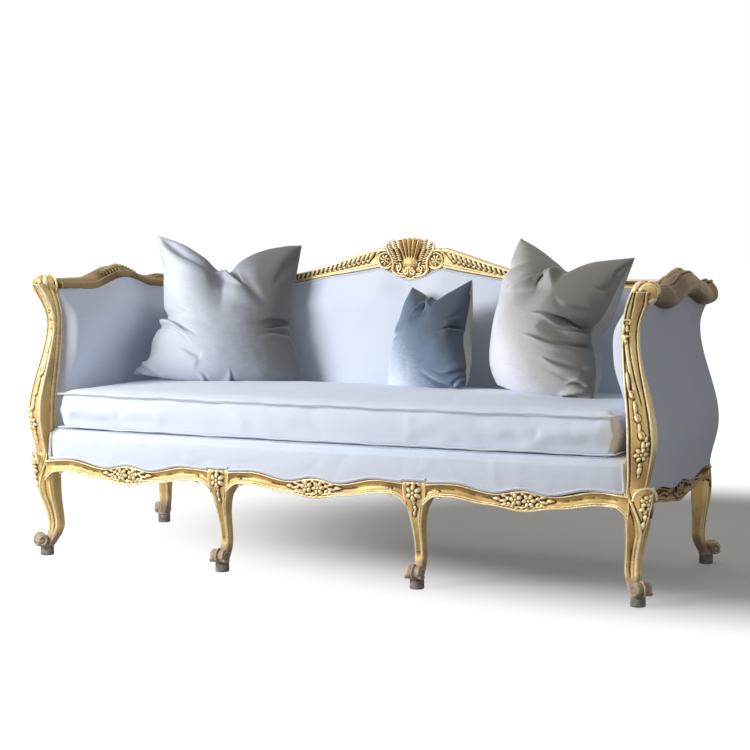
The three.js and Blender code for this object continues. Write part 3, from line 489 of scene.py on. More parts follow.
def husk(form, onto, foot, size, turn, lift=0.0):
    """A pointed bud that starts at its foot and runs along its turn."""
    long, wide, high = size
    t = np.linspace(0.02, 0.99, 12)[:, None]
    v = circle(12)[None]
    reach = np.sin(math.pi * t**0.75) ** 0.85 + 0.02
    rings = xyz(long * t, wide / 2 * reach * np.cos(v), lift + high * reach * np.sin(v))
    form.skin(onto(turned(rings, foot, turn)))


def strand(form, onto, path, radius, lift=0.0):
    """A rib that follows a path of (x, y) on the surface."""
    path = np.asarray(path, float)
    form.tube(onto(xyz(*path.T, lift)), radius, 9)


def gone_along(path):
    """How far along a path each of its points lies."""
    return np.concatenate([[0], np.cumsum(np.linalg.norm(np.diff(path, axis=0), axis=1))])


def read_at(at, gone, values):
    return np.column_stack([np.interp(at, gone, column) for column in values.T])


def along(path, steps):
    """Points evenly along a smooth curve through a few points."""
    path = np.asarray(path, float)
    gone = gone_along(path)
    rough = curve(np.column_stack([gone, path]), np.linspace(0, gone[-1], steps))
    gone = gone_along(rough)
    return read_at(np.linspace(0, gone[-1], steps), gone, rough)


def volute(centre, outer, inner, turns, start, way, steps=44):
    t = np.linspace(0, 1, steps)
    turn = start + way * 2 * math.pi * turns * t
    reach = mix(outer, inner, t**0.8)
    return np.column_stack([centre[0] + reach * np.cos(turn), centre[1] + reach * np.sin(turn)])


def taper(steps, thick, thin):
    return mix(thick, thin, np.linspace(0, 1, steps))


def swelling(steps, thin, extra, power=1.0):
    """Radii along a strand that is thickest in its middle."""
    return thin + extra * np.sin(math.pi * np.linspace(0, 1, steps)) ** power


def flower(form, onto, centre, radius, petals=5, turn=0.0, high=0.42):
    for i in range(petals):
        way = turn + 2 * math.pi * i / petals
        reach = 0.6 * radius
        at = (centre[0] + reach * math.cos(way), centre[1] + reach * math.sin(way))
        size = (0.44 * radius, 1.9 * radius / petals, high * radius)
        boss(form, onto, at, size, way, 0.06 * radius)
        tip = (centre[0] + 0.9 * radius * math.cos(way), centre[1] + 0.9 * radius * math.sin(way))
        boss(form, onto, tip, (0.13 * radius, 0.9 * radius / petals, high * radius * 0.8), way)
    boss(form, onto, centre, (0.27 * radius, 0.27 * radius, 0.78 * high * radius + 0.2 * radius))


def moulding(t, cove, bead):
    """How far a moulded face lies in from its plane, from its upper edge to its lower."""
    hollow = cove * np.sin(math.pi * np.clip((t - 0.11) / 0.6, 0, 1)) ** 0.9
    raised = bead * bump(t, 0.055, 0.055) + 0.9 * bead * bump(t, 0.775, 0.05)
    raised = raised + 1.1 * bead * bump(t, 0.93, 0.07)
    groove = 0.5 * bead * (bump(t, 0.855, 0.02) + bump(t, 0.715, 0.012))
    return hollow - raised + groove


# Materials


class Wire:
    """A socket of a material's nodes that Python's operators work on."""

    def __init__(self, paint, socket):
        self.paint, self.socket = paint, socket

    def math(self, operation, *values):
        return self.paint.node("Math", {"operation": operation}, dict(enumerate(values)))

    def __add__(self, other):
        return self.math("ADD", self, other)

    __radd__ = __add__

    def __sub__(self, other):
        return self.math("SUBTRACT", self, other)

    def __rsub__(self, other):
        return self.math("SUBTRACT", other, self)

    def __mul__(self, other):
        return self.math("MULTIPLY", self, other)

    __rmul__ = __mul__

    def __truediv__(self, other):
        return self.math("DIVIDE", self, other)

    def __pow__(self, other):
        return self.math("POWER", self, other)

    def clear(self, low, high):
        """From 0 at low to 1 at high, with soft ends."""
        return self.paint.node(
            "MapRange", {"interpolation_type": "SMOOTHSTEP"}, {0: self, 1: low, 2: high}
        )


class Paint:
    """A material while its nodes are being laid out."""

    def __init__(self, name):
        self.material = bpy.data.materials.new(name)
        self.material.use_nodes = True
        self.tree = self.material.node_tree
        self.shader = self.tree.nodes["Principled BSDF"]

    def set(self, socket, value):
        if isinstance(value, Wire):
            self.tree.links.new(value.socket, socket)
        elif socket.type == "RGBA":
            socket.default_value = (*value[:3], 1)
        else:
            socket.default_value = value

    def node(self, kind, settings=None, values=None, output=0):
        made = self.tree.nodes.new("ShaderNode" + kind)
        for key, value in (settings or {}).items():
            setattr(made, key, value)
        for key, value in (values or {}).items():
            self.set(made.inputs[key], value)
        return Wire(self, made.outputs[output])

    def place(self):
        return self.node("TexCoord", output="Object")

    def split(self, vector):
        made = self.node("SeparateXYZ", None, {0: vector}).socket.node
        return [Wire(self, out) for out in made.outputs]

    def kept(self, name):
        return self.node("Attribute", {"attribute_name": name}, output="Fac")

    def noise(self, scale, detail=3.0, roughness=0.55, where=None, distortion=0.0):
        values = {"Scale": scale, "Detail": detail, "Roughness": roughness, "Distortion": distortion}
        values["Vector"] = where or self.place()
        return self.node("TexNoise", None, values)

    def stretched(self, scale):
        return self.node("Mapping", None, {"Vector": self.place(), "Scale": scale})

    def between(self, a, b, t):
        return self.node("Mix", {"data_type": "RGBA"}, {0: t, 6: a, 7: b}, 2)

    def wave(self, direction, scale, distortion=0.0, detail=0.0):
        return self.node(
            "TexWave",
            {"bands_direction": direction},
            {"Vector": self.place(), "Scale": scale, "Distortion": distortion, "Detail": detail},
            "Fac",
        )

    def bump(self, height, strength, distance):
        return self.node(
            "Bump", None, {"Height": height, "Strength": strength, "Distance": distance}
        )

    def finish(self, **values):
        for key, value in values.items():
            self.set(self.shader.inputs[key.replace("_", " ")], value)
        return self.material


def gilt(name, dull_and_shaded=0.0):
    """Old leaf over red clay, with painted light: the brown under the leaf shows in scratches and is
    painted as shade in the hollows, faces that look down are painted browner as shade, and a pale rubbed
    gold on the high places also paints the highlights. The second argument makes a darker, duller copy that
    paints shade.
    """
    paint, c, wear = Paint(name), colours(), sizes().wear
    relief, under, toe = (paint.kept(one) for one in ("relief", "under", "toe"))
    patches, fine, broad = paint.noise(38, 5, 0.62), paint.noise(300, 4, 0.6), paint.noise(8, 3)
    level = relief + (fine - 0.5) * 0.22 + (patches - 0.5) * 0.26 - 0.06 * dull_and_shaded
    # hollow marks the carved recesses, which are painted dark as shade.
    hollow = 1 - level.clear(0.14, 0.42)
    # high marks the raised places, painted pale as rubbed gold and as painted highlight.
    high = level.clear(0.55, 0.9)
    # Random brown patches, plus painted shade on faces that look down and the painted shade of the darker
    # copy.
    tarnish_and_shade = broad.clear(0.44, 0.66) * (0.55 - 0.2 * dull_and_shaded) + under.clear(0.5, 0.9) * 0.6 + 0.65 * dull_and_shaded
    brown = [(1 - 0.65 * dull_and_shaded) * v for v in c.tarnish_and_shade]
    leaf = paint.between(c.gold, brown, tarnish_and_shade.math("MINIMUM", tarnish_and_shade, 1.0))
    leaf = paint.between(leaf, c.rubbed_gold_and_highlight, high * (0.9 - 0.75 * dull_and_shaded))
    leaf = paint.between(leaf, c.bole, level.clear(0.8, 1.02) * patches.clear(0.46, 0.6) * wear)
    scratch = paint.noise(95, 6, 0.7).clear(0.55, 0.72) * wear
    # The brown under the leaf shows through real scratches and as painted shade in the hollows.
    gone = hollow.math("MAXIMUM", hollow * 0.94, scratch * (1 - high))
    leaf = paint.between(leaf, c.ground_and_shade, gone)
    grey = paint.between([1.5 * v for v in c.pad], c.bole, patches.clear(0.42, 0.62) * 0.5)
    leaf = paint.between(leaf, grey, toe * (0.35 + 0.6 * patches.clear(0.38, 0.6)))
    return paint.finish(
        Base_Color=leaf,
        Metallic=(1 - gone) * (1 - toe) * (0.34 - 0.2 * dull_and_shaded),
        Roughness=0.34 + 0.16 * dull_and_shaded + gone * 0.34 + patches * 0.16 + toe * 0.2,
        Normal=paint.bump(fine * 0.5 + patches, 0.4, 0.0008),
    )


def woven(name, tint, pitch, depth, slub=0.06, rough=0.86, sheen=0.15):
    """A plain weave whose threads run with the piece, on whichever side is seen."""
    paint = Paint(name)
    threads = [a.math("SINE", a * (2 * math.pi / pitch)) for a in paint.split(paint.place())]
    sides = paint.split(paint.node("NewGeometry", output="Normal"))
    weights = [side.math("ABSOLUTE", side) ** 2 for side in sides]
    pairs = [threads[1] * threads[2], threads[0] * threads[2], threads[0] * threads[1]]
    weave = weights[0] * pairs[0] + weights[1] * pairs[1] + weights[2] * pairs[2]
    warp = paint.noise(1, 3, 0.6, paint.stretched((40, 40, 900)))
    weft = paint.noise(1, 3, 0.6, paint.stretched((900, 900, 40)))
    slubs = (warp - 0.5) + (weft - 0.5)
    broad = paint.noise(5, 2)
    shade = (0.5 + slubs * (slub * 8)) + (broad - 0.5) * 0.25
    dark = [v * (1 - slub * 1.6) for v in tint]
    light = [min(1, v * (1 + slub)) for v in tint]
    paint.shader.inputs["Sheen Weight"].default_value = sheen
    paint.shader.inputs["Sheen Roughness"].default_value = 0.5
    return paint.finish(
        Base_Color=paint.between(dark, light, shade),
        Roughness=rough,
        Normal=paint.bump(weave * 0.35 + slubs * 1.2, depth, pitch * 0.5),
    )


def velvet(name, dark, tint, painted_light_tint):
    """Velvet with painted light: its own colour between a shaded copy and a lit copy, set by a share kept
    at each point, with random crushed patches and streaks in the pile.
    """
    paint = Paint(name)
    clouds = paint.noise(9, 4, 0.6, distortion=0.6)
    streaks = paint.noise(1, 4, 0.6, paint.stretched((60, 60, 190)))
    # The painted light kept at each point, plus random crushed patches and streaks in the pile.
    nap = paint.kept("nap") + (clouds - 0.5) * 0.22 + (streaks - 0.5) * 0.16
    # Painted shade where the share is low, painted light where it is high.
    deep = paint.between(dark, tint, nap.clear(0.0, 0.55))
    pile = paint.noise(900, 2)
    paint.shader.inputs["Sheen Weight"].default_value = 0.3
    paint.shader.inputs["Sheen Roughness"].default_value = 0.35
    paint.shader.inputs["Sheen Tint"].default_value = (*painted_light_tint, 1)
    return paint.finish(
        Base_Color=paint.between(deep, painted_light_tint, nap.clear(0.45, 1.0)),
        Roughness=0.62 + streaks * 0.15,
        Normal=paint.bump(pile, 0.18, 0.0006),
    )


def plain_wood(name, tint):
    paint = Paint(name)
    grain = paint.noise(1, 5, 0.6, paint.stretched((4, 160, 160)), 0.4)
    rings = paint.wave("Z", 26, 6, 2)
    pores = paint.noise(1, 2, 0.5, paint.stretched((30, 1200, 1200)))
    dark = [0.62 * v for v in tint]
    return paint.finish(
        Base_Color=paint.between(tint, dark, grain.clear(0.4, 0.66) * 0.7 + rings * 0.2),
        Roughness=0.55 + pores * 0.25,
        Normal=paint.bump(grain + pores * 0.5, 0.3, 0.0006),
    )


def worn_pad(name):
    paint, c = Paint(name), colours()
    patches, fine = paint.noise(60, 5, 0.65), paint.noise(420, 3)
    light = [min(1, 2.1 * v) for v in c.pad]
    tint = paint.between(c.pad, light, patches.clear(0.42, 0.62) * 0.7)
    tint = paint.between(tint, [0.3 * v for v in c.pad], fine.clear(0.58, 0.7) * 0.7)
    return paint.finish(
        Base_Color=tint,
        Roughness=0.72 + fine * 0.2,
        Metallic=0.0,
        Normal=paint.bump(patches + fine * 0.6, 0.6, 0.001),
    )


FINISHES = {}


def finishes():
    """Every finish of the sofa by name, made once."""
    c = colours()
    if not FINISHES:
        FINISHES.update(
            gilt=gilt("old_gilt"),
            # A darker, duller copy of the gilt, which paints the shade on the side, rear and arm rails.
            dull_gilt=gilt("dull_gilt", 1.0),
            foot_pad=worn_pad("foot_pad"),
            linen=woven("pale_linen", c.linen, 0.0011, 0.35),
            welt=woven("welt_linen", c.welt, 0.0009, 0.3, 0.08),
            backing=woven("backing_linen", c.backing, 0.0011, 0.4, 0.1),
            jute=woven("coarse_jute", c.jute, 0.003, 0.8, 0.2, 0.95, 0.0),
            cambric=woven("black_cambric", c.cambric, 0.0012, 0.3, 0.1),
            silver=velvet("velvet_silver", c.silver_painted_shade, c.silver, c.silver_painted_light),
            greige=velvet("velvet_greige", c.greige_painted_shade, c.greige, c.greige_painted_light),
            blue=velvet("velvet_blue", c.blue_painted_shade, c.blue, c.blue_painted_light),
            beech=plain_wood("plain_beech", c.beech),
        )
    return FINISHES


# Feet and legs

CORNER_LEG = [
    (0, 0, 0.5), (0.07, 0.45, 0.5), (0.14, 0.83, 0.52), (0.21, 1, 0.55), (0.32, 0.95, 0.56),
    (0.42, 0.77, 0.61), (0.53, 0.52, 0.71), (0.64, 0.35, 0.82), (0.78, 0.24, 0.93), (0.95, 0.2, 1),
    (1, 0.2, 1),
]
REAR_LEG = [
    (0, 0, 0.54), (0.07, 0.45, 0.54), (0.14, 0.83, 0.55), (0.21, 1, 0.58), (0.32, 0.98, 0.61),
    (0.42, 0.92, 0.67), (0.53, 0.86, 0.77), (0.64, 0.8, 0.89), (0.78, 0.74, 0.97), (0.95, 0.7, 1),
    (1, 0.7, 1),
]
MIDDLE_LEG = [
    (0, 0, 0.48, 0.66), (0.07, 0.45, 0.46, 0.66), (0.14, 0.83, 0.44, 0.68), (0.21, 1, 0.42, 0.7),
    (0.32, 0.95, 0.41, 0.72), (0.42, 0.77, 0.43, 0.75), (0.53, 0.52, 0.49, 0.83),
    (0.64, 0.35, 0.62, 0.94), (0.74, 0.3, 0.82, 1), (0.9, 0.26, 1, 1), (1, 0.26, 1, 1),
]
# How far the corner panel's beads stand from the leg's ridge, in radians round the leg, by height.
PANEL = [
    (0.02, 0.1), (0.15, 0.11), (0.19, 0.14), (0.21, 0.28), (0.23, 0.48), (0.25, 0.75), (0.27, 1.02),
    (0.29, 1.25), (0.31, 1.32),
]


def toe_scroll(form, foot, way, radius=0.0205, wide=0.046):
    """The rolled toe above a pad, with a volute on each end."""
    forward = np.array([math.cos(way), math.sin(way), 0])
    across = np.array([-forward[1], forward[0], 0])
    up = np.array([0, 0, 1.0])
    middle = np.array([foot[0], foot[1], 0.0475]) + forward * 0.0185

    def roll(points):
        return middle + points[..., :1] * forward + points[..., 1:2] * up + points[..., 2:] * across

    t = np.linspace(-1, 1, 17)
    reach = radius * (0.88 + 0.1 * t**2) * np.sqrt(np.clip(1 - 0.55 * np.abs(t) ** 8, 0, 1))
    turn = circle(36)
    reach, t = reach[:, None], t[:, None]
    form.skin(roll(xyz(reach * np.cos(turn), reach * np.sin(turn), t * wide / 2)))
    for end in (-1, 1):
        path = volute((0, 0), 0.84 * radius, 0.24 * radius, 1.35, -0.6, -1)
        form.tube(roll(xyz(*path.T, end * wide * 0.49)), taper(len(path), 0.0042, 0.0026), 9)
        hub = roll(xyz(0, 0, end * wide * np.array([0.42, 0.5, 0.53])))
        form.tube(hub, np.array([0.005, 0.005, 0.0025]), 12)
    band = along([(0.3, -1.0, 0), (0.95, -0.35, 0), (0.98, 0.3, 0), (0.5, 0.9, 0), (-0.3, 1.0, 0)], 24)
    form.tube(roll(band * radius * 0.95), 0.0034, 9)
    sole = circle(32)
    profile = ((PAD_TOP, 0.0205), (0.03, 0.0215), (0.0345, 0.0205), (0.042, 0.0175))
    form.skin([xyz(foot[0] + r * np.cos(sole), foot[1] + r * np.sin(sole), z) for z, r in profile])


def corner_leg(foot, half, setback, shares, top, way, carve=True):
    """A cabriole leg on the right, with its ridge and toe along way."""
    s = sizes()
    form = Form()
    heights = np.linspace(PAD_TOP + 0.004, top, 150)
    rise = (heights - PAD_TOP) / (top - PAD_TOP)
    back, width = curve(shares, rise).T
    out = np.array([math.cos(way), math.sin(way)])
    centre = np.asarray(foot) - out * (setback * back)[:, None]
    half_width = half * width
    angle = np.linspace(-math.pi, math.pi, 180, endpoint=False)
    a = angle[None] + way
    power = mix(5.0, 3.0, smooth(heights, 0.16, 0.27))[:, None]
    norm = (np.abs(np.cos(a)) ** power + np.abs(np.sin(a)) ** power) ** (1 / power)
    reach = half_width[:, None] / norm
    panel = curve(PANEL, heights)[:, None]
    turn = np.abs(angle)[None]
    edge = math.radians(84)
    t = np.clip((turn - panel) / (edge - panel), 0, 1)
    bead_half = 0.0042 / reach
    beads = bump(turn, panel, bead_half) + 0.8 * bump(turn, panel + 2.4 * bead_half, 0.8 * bead_half)
    beads = beads + 1.1 * bump(turn, edge - bead_half, bead_half)
    hollow = np.sin(math.pi * np.clip((t - 0.14) / 0.76, 0, 1)) ** 0.8 * (turn < edge)
    sunk = smooth(heights, 0.19, 0.24)[:, None] * (turn < panel - bead_half)
    low = smooth(heights, 0.06, 0.085)[:, None]
    shape = reach + low * (s.bead * beads * 1.15 - hollow * np.minimum(s.cove, 0.2 * reach))
    shape = shape - 0.0028 * sunk
    x, y = (centre[:, i, None] for i in (0, 1))
    form.skin(xyz(x + shape * np.cos(a), y + shape * np.sin(a), heights[:, None]))
    toe_scroll(form, foot, way)
    if carve:
        middle = np.asarray(foot) - out * setback * shares[-1][1]
        across = np.array([-out[1], out[0]])

        def onto(points):
            x, y, z = parts(points)
            drawn = curve(shares, (y - PAD_TOP) / (top - PAD_TOP))
            depth = 1.19 * half * drawn[..., 1] - setback * (drawn[..., 0] - shares[-1][1])
            depth = depth - 6.5 * x**2 + z
            flat = middle + depth[..., None] * out + x[..., None] * across
            return np.concatenate([flat, y[..., None]], -1)

        crown = top - 0.0315
        flower(form, onto, (0, crown), 0.016, 5, 0.3, 0.5)
        for side in (-1, 1):
            boss(form, onto, (side * 0.0165, crown + 0.013), (0.0075, 0.005, 0.005), side * 0.8)
            boss(form, onto, (side * 0.0095, crown - 0.0205), (0.0075, 0.0052, 0.0065), side * -0.6)
        boss(form, onto, (0, crown - 0.027), (0.0065, 0.0054, 0.0065), 1.57)
        husk(form, onto, (0.001, crown - 0.034), (0.02, 0.01, 0.0065), -1.5)
        husk(form, onto, (-0.001, crown - 0.052), (0.026, 0.0115, 0.006), -1.62)
        if top > 0.3:
            half_arch = [(0.034, top - 0.03), (0.031, top - 0.014), (0.019, top - 0.002)]
            arch = [*sided(-1, half_arch), (0.0, top + 0.002), *half_arch[::-1]]
            strand(form, onto, along(arch, 40), 0.0042, 0.002)
    return form


def middle_leg():
    s = sizes()
    form = Form()
    foot, top = np.array(MIDDLE_FOOT), LOW_LEG_TOP
    block_face = front_face(foot[0]) - 0.0015
    heights = np.linspace(PAD_TOP + 0.004, top, 150)
    rise = (heights - PAD_TOP) / (top - PAD_TOP)
    back, width, depth = curve(MIDDLE_LEG, rise).T
    centre = foot + np.array([0, 0.03]) * back[:, None]
    angle = circle(160)[None]
    cosine, sine = np.cos(angle), np.sin(angle)
    half_x, half_y = (0.034 * width)[:, None], (0.026 * depth)[:, None]
    power = 3.4
    norm = (np.abs(cosine) ** power + np.abs(sine) ** power) ** (1 / power)
    x, y = half_x * cosine / norm, half_y * sine / norm
    front = smooth(-sine, 0.25, 0.6)
    lines = bump(np.abs(x / half_x), 0.8, 0.09) + 0.8 * bump(np.abs(x / half_x), 0.56, 0.06)
    fade = smooth(heights, 0.07, 0.1)[:, None]
    y = y - front * fade * s.bead * lines * smooth(heights, 0.255, 0.225)[:, None]
    ridge = front * fade * 0.0022 * np.clip(1 - (x / half_x / 0.5) ** 2, 0, 1)
    y = y + ridge * smooth(heights, 0.26, 0.2)[:, None]
    block = smooth(heights, 0.215, 0.25)[:, None]
    ahead = np.where(sine < 0, block_face, -0.303)
    y = y + centre[:, 1, None]
    y = mix(y, np.where(np.abs(sine) > 0.35, ahead, y), block)
    form.skin(xyz(centre[:, 0, None] + x, y, heights[:, None]))
    toe_scroll(form, foot, -math.pi / 2, 0.0205, 0.044)

    def onto(points):
        px, py, pz = parts(points)
        drawn = curve(MIDDLE_LEG, (py - PAD_TOP) / (top - PAD_TOP))
        lower = foot[1] + 0.03 * drawn[..., 0] - 0.026 * drawn[..., 2]
        face = mix(lower, block_face, smooth(py, 0.215, 0.25))
        return xyz(foot[0] + px, face + 10 * px**2 - pz, py)

    flower(form, onto, (0, 0.264), 0.0235, 6, 0.52, 0.46)
    boss(form, onto, (0, 0.29), (0.0095, 0.006, 0.0075), 0)
    for side in (-1, 1):
        boss(form, onto, (side * 0.016, 0.2885), (0.0085, 0.0055, 0.007), side * -0.5)
    husk(form, onto, (0.0, 0.25), (0.023, 0.0105, 0.0055), -1.57)
    husk(form, onto, (0.0015, 0.23), (0.02, 0.009, 0.005), -1.52)
    husk(form, onto, (-0.001, 0.213), (0.016, 0.007, 0.0045), -1.62)
    return form


def foot_pad():
    """A turned pad, a little worn out of round."""
    angle = circle(64)
    profile = [
        (0.0, 0.0165), (0.0, 0.0188), (0.0012, 0.0198), (0.006, 0.0201), (0.012, 0.0196),
        (0.015, 0.0199), (0.02, 0.0197), (0.024, 0.0196), (0.0258, 0.0188), (0.026, 0.017),
    ]
    rings = []
    for z, r in profile:
        chipped = r * (1 + 0.012 * np.sin(3 * angle + 40 * z) * (0 < z < 0.025))
        rings.append(xyz(chipped * np.cos(angle), chipped * np.sin(angle), z))
    return closed(Form().skin(rings), "foot_pad")


# Seat rails

# Ends of the rails as they are carved
CENTRE_RAIL, OUTER_RAIL = (-0.2787, 0.2787), (0.3253, 0.896)
SIDE_RAIL, REAR_RAIL_HALF = (-0.315, 0.33), 0.879
FACE_TOP = [(0, -0.1), (0.28, -1), (0.7, 0.45), (1, 0.15)]
FACE_FOOT = [(0, -1.25), (0.35, -0.25), (0.72, 0.8), (1, 0.85)]


def stepped(table, at):
    """Reads a table with a smooth step between its rows."""
    table = np.asarray(table, float)
    i = np.clip(np.searchsorted(table[:, 0], at) - 1, 0, len(table) - 2)
    low, high = table[i], table[i + 1]
    t = (at - low[..., 0]) / (high[..., 0] - low[..., 0])
    return mix(low[..., 1], high[..., 1], smooth(t, 0, 1))


def rail_edges(where, start, end):
    """Heights of a rail's carved face: its top and its foot."""
    share_out = np.abs(where - (start + end) / 2) / ((end - start) / 2)
    room = np.minimum(where - start, end - where)
    fall = 0.056 * (1 - smooth(room, -0.03, 0.05)) ** 1.5
    top = RAIL_TOP + 0.013 * stepped(FACE_TOP, share_out)
    foot = RAIL_TOP - 0.042 + 0.013 * stepped(FACE_FOOT, share_out) - fall
    return top, foot


def rail_form(start, end, place, depth):
    """A rail between two legs. place(where, inwards, height) says where its points lie."""
    s = sizes()
    where = np.linspace(start, end, int((end - start) / 0.0035))
    top, foot = rail_edges(where, start, end)
    t = np.linspace(0, 1, 44)
    face_in = moulding(t, s.cove, s.bead)
    height = top[:, None] + (foot - top)[:, None] * t
    inward = np.broadcast_to(face_in, height.shape)
    deep = np.asarray(depth(where) if callable(depth) else np.full(len(where), depth))[:, None]
    under = np.linspace(0.15, 1, 6)
    last = np.full((len(where), 4), 0.0155)
    inwards = [inward, deep * under, np.repeat(deep, 5, 1), mix(deep, 0.016, under[:5]), last]
    lift = foot[:, None]
    heights = [
        height,
        mix(lift, 0.262, under),
        mix(0.262, 0.325, np.linspace(0.1, 0.95, 5)) * np.ones_like(lift),
        np.full((len(where), 5), 0.325),
        mix(0.322, top[:, None] + 0.0005, np.linspace(0, 1, 4)),
    ]
    inwards, heights = np.concatenate(inwards, 1), np.concatenate(heights, 1)
    return Form().skin(place(where[:, None], inwards, heights))


def cabochon(form, onto, x, y, side):
    """A small half ring with a bead in it, where a rail nears a leg."""
    path = volute((x, y), 0.0085, 0.0078, 0.62, math.pi / 2 - side * 0.5, -side, 20)
    strand(form, onto, path, taper(20, 0.003, 0.0016), 0.001)
    boss(form, onto, (x, y - 0.001), (0.005, 0.0046, 0.0046), 0.7)
    boss(form, onto, (x + side * 0.004, y - 0.0125), (0.0085, 0.0032, 0.0032), -side * 0.35)


def bouquet(form, onto, x, y, radius):
    """Two flowers side by side in a wreath of buds, with husks running out to both sides."""
    flower(form, onto, (x - 0.0205, y + 0.001), 0.94 * radius, 5, 0.5)
    flower(form, onto, (x + 0.016, y - 0.001), 1.02 * radius, 6, 0.1)
    buds = [
        (-0.043, 0.004, 0.6), (-0.039, -0.011, -0.5), (-0.03, 0.0165, 1.0), (-0.015, 0.0205, 0.2),
        (-0.001, 0.0175, 0), (0.014, 0.0215, -0.2), (0.031, 0.0165, -0.8), (0.0405, 0.005, -0.4),
        (0.0395, -0.009, 0.6), (0.029, -0.0195, 0.4), (0.012, -0.0235, 0), (-0.003, -0.0205, 0.3),
        (-0.019, -0.0205, -0.2), (-0.031, -0.0175, -0.7),
    ]
    for bx, by, turn in buds:
        boss(form, onto, (x + bx, y + by), (0.0068, 0.0048, 0.0056), turn)
    for side in (-1, 1):
        start = (x + side * 0.044, y + 0.002)
        for long, drop, turn in ((0.024, 0.006, 0.18), (0.026, -0.004, -0.12), (0.02, -0.011, -0.32)):
            way = turn if side > 0 else math.pi - turn
            husk(form, onto, (start[0], start[1] + drop), (long, 0.0085, 0.0048), way)
        tip = (x + side * 0.063, y + 0.001)
        husk(form, onto, tip, (0.024, 0.0095, 0.0046), 0.02 if side > 0 else math.pi - 0.02)


def front_rail(start, end):
    def place(where, inwards, height):
        face = front_face(where) - 0.0125 * smooth(np.abs(where), 0.82, 0.876)
        return xyz(where, face + inwards, height)

    form = rail_form(start, end, place, lambda x: -0.303 - front_face(x))

    def onto(points):
        x, y, z = parts(points)
        return xyz(x, front_face(x) + 0.0025 - z, y)

    middle = (start + end) / 2
    bouquet(form, onto, middle, 0.261, sizes().flower)
    for side in (-1, 1):
        x = middle + side * ((end - start) / 2 - 0.052)
        cabochon(form, onto, x, 0.2655, side)
    return form


def side_rail(start, end):
    def place(where, inwards, height):
        face = 0.93 + 0.012 * (1 - smooth(where, start + 0.008, start + 0.06))
        face = face + 0.006 * smooth(where, 0.25, 0.31)
        return xyz(face - inwards, where, height)

    form = rail_form(start, end, place, 0.05)

    def onto(points):
        x, y, z = parts(points)
        return xyz(0.9275 + z, x, y)

    middle = (start + end) / 2
    flower(form, onto, (middle, 0.263), 0.016, 5, 0.4)
    for side in (-1, 1):
        scroll = [
            (0.085, 0.268), (0.06, 0.279), (0.034, 0.276), (0.022, 0.262), (0.03, 0.25), (0.046, 0.25),
        ]
        scroll = along(sided(side, scroll, middle), 34)
        strand(form, onto, scroll, taper(34, 0.003, 0.0055), 0.001)
        boss(form, onto, (middle + side * 0.046, 0.2535), (0.006, 0.006, 0.006))
        turn = 0.06 if side > 0 else math.pi - 0.06
        husk(form, onto, (middle + side * 0.083, 0.267), (0.05, 0.011, 0.005), turn)
        cabochon(form, onto, middle + side * ((end - start) / 2 - 0.056), 0.2655, side)
        wave = along(sided(side, [(0.12, 0.262), (0.165, 0.272), (0.205, 0.268)], middle), 24)
        strand(form, onto, wave, taper(24, 0.004, 0.002))
    return form


def rear_rail(half):
    t = np.linspace(0, 1, 30)
    face = 0.0015 * np.cos(2 * math.pi * t)
    outline = [(0.347 - f, mix(RAIL_TOP, RAIL_TOP - 0.042, v)) for v, f in zip(t, face)]
    outline += [(0.335, 0.247), (0.2975, 0.262), (0.2975, 0.325), (0.331, 0.325), (0.3315, 0.29)]
    where = np.linspace(-half, half, 120)
    return Form().skin(xyz(where[:, None], *np.array(outline).T))


# Arm posts and arm rails

POST_TURN = math.radians(25)
FACE_WAY = np.array([math.cos(POST_TURN), math.sin(POST_TURN)])
FACE_OUT = np.array([math.sin(POST_TURN), -math.cos(POST_TURN)])


def post_width(z):
    low = mix(0.052, 0.07, smooth(z, LEG_TOP, BULGE))
    middle = mix(0.07, 0.044, smooth(z, BULGE, WAIST))
    high = mix(0.044, 0.056, smooth(z, WAIST, 0.806))
    return np.where(z < BULGE, low, np.where(z < WAIST, middle, high))


def post_outer(z):
    """The outer edge of a post's carved face."""
    lean = sway(z)
    return np.stack([0.907 + lean, -0.329 - 0.57 * lean], -1)


def post_inner_x(z):
    return post_outer(z)[..., 0] - 0.906 * post_width(z)


def on_post(points):
    """x from the outer edge of the face inwards, y the height and z out of the face."""
    x, y, z = parts(points)
    width = post_width(y)
    out = post_outer(y)
    crown = 0.0022 * (1 - np.clip((x / width - 0.5) * 2, -1, 1) ** 2)
    flat = out - x[..., None] * FACE_WAY + (z + crown)[..., None] * FACE_OUT
    return np.concatenate([flat, y[..., None]], -1)


# Where the long groove runs on a post's face, as a share of its width, by height.
POST_LINE = [
    (0.5, 0.3), (0.535, 0.33), (0.56, 0.38), (0.6, 0.46), (0.66, 0.56), (0.7, 0.6), (0.735, 0.6),
    (0.78, 0.66), (0.812, 0.72),
]


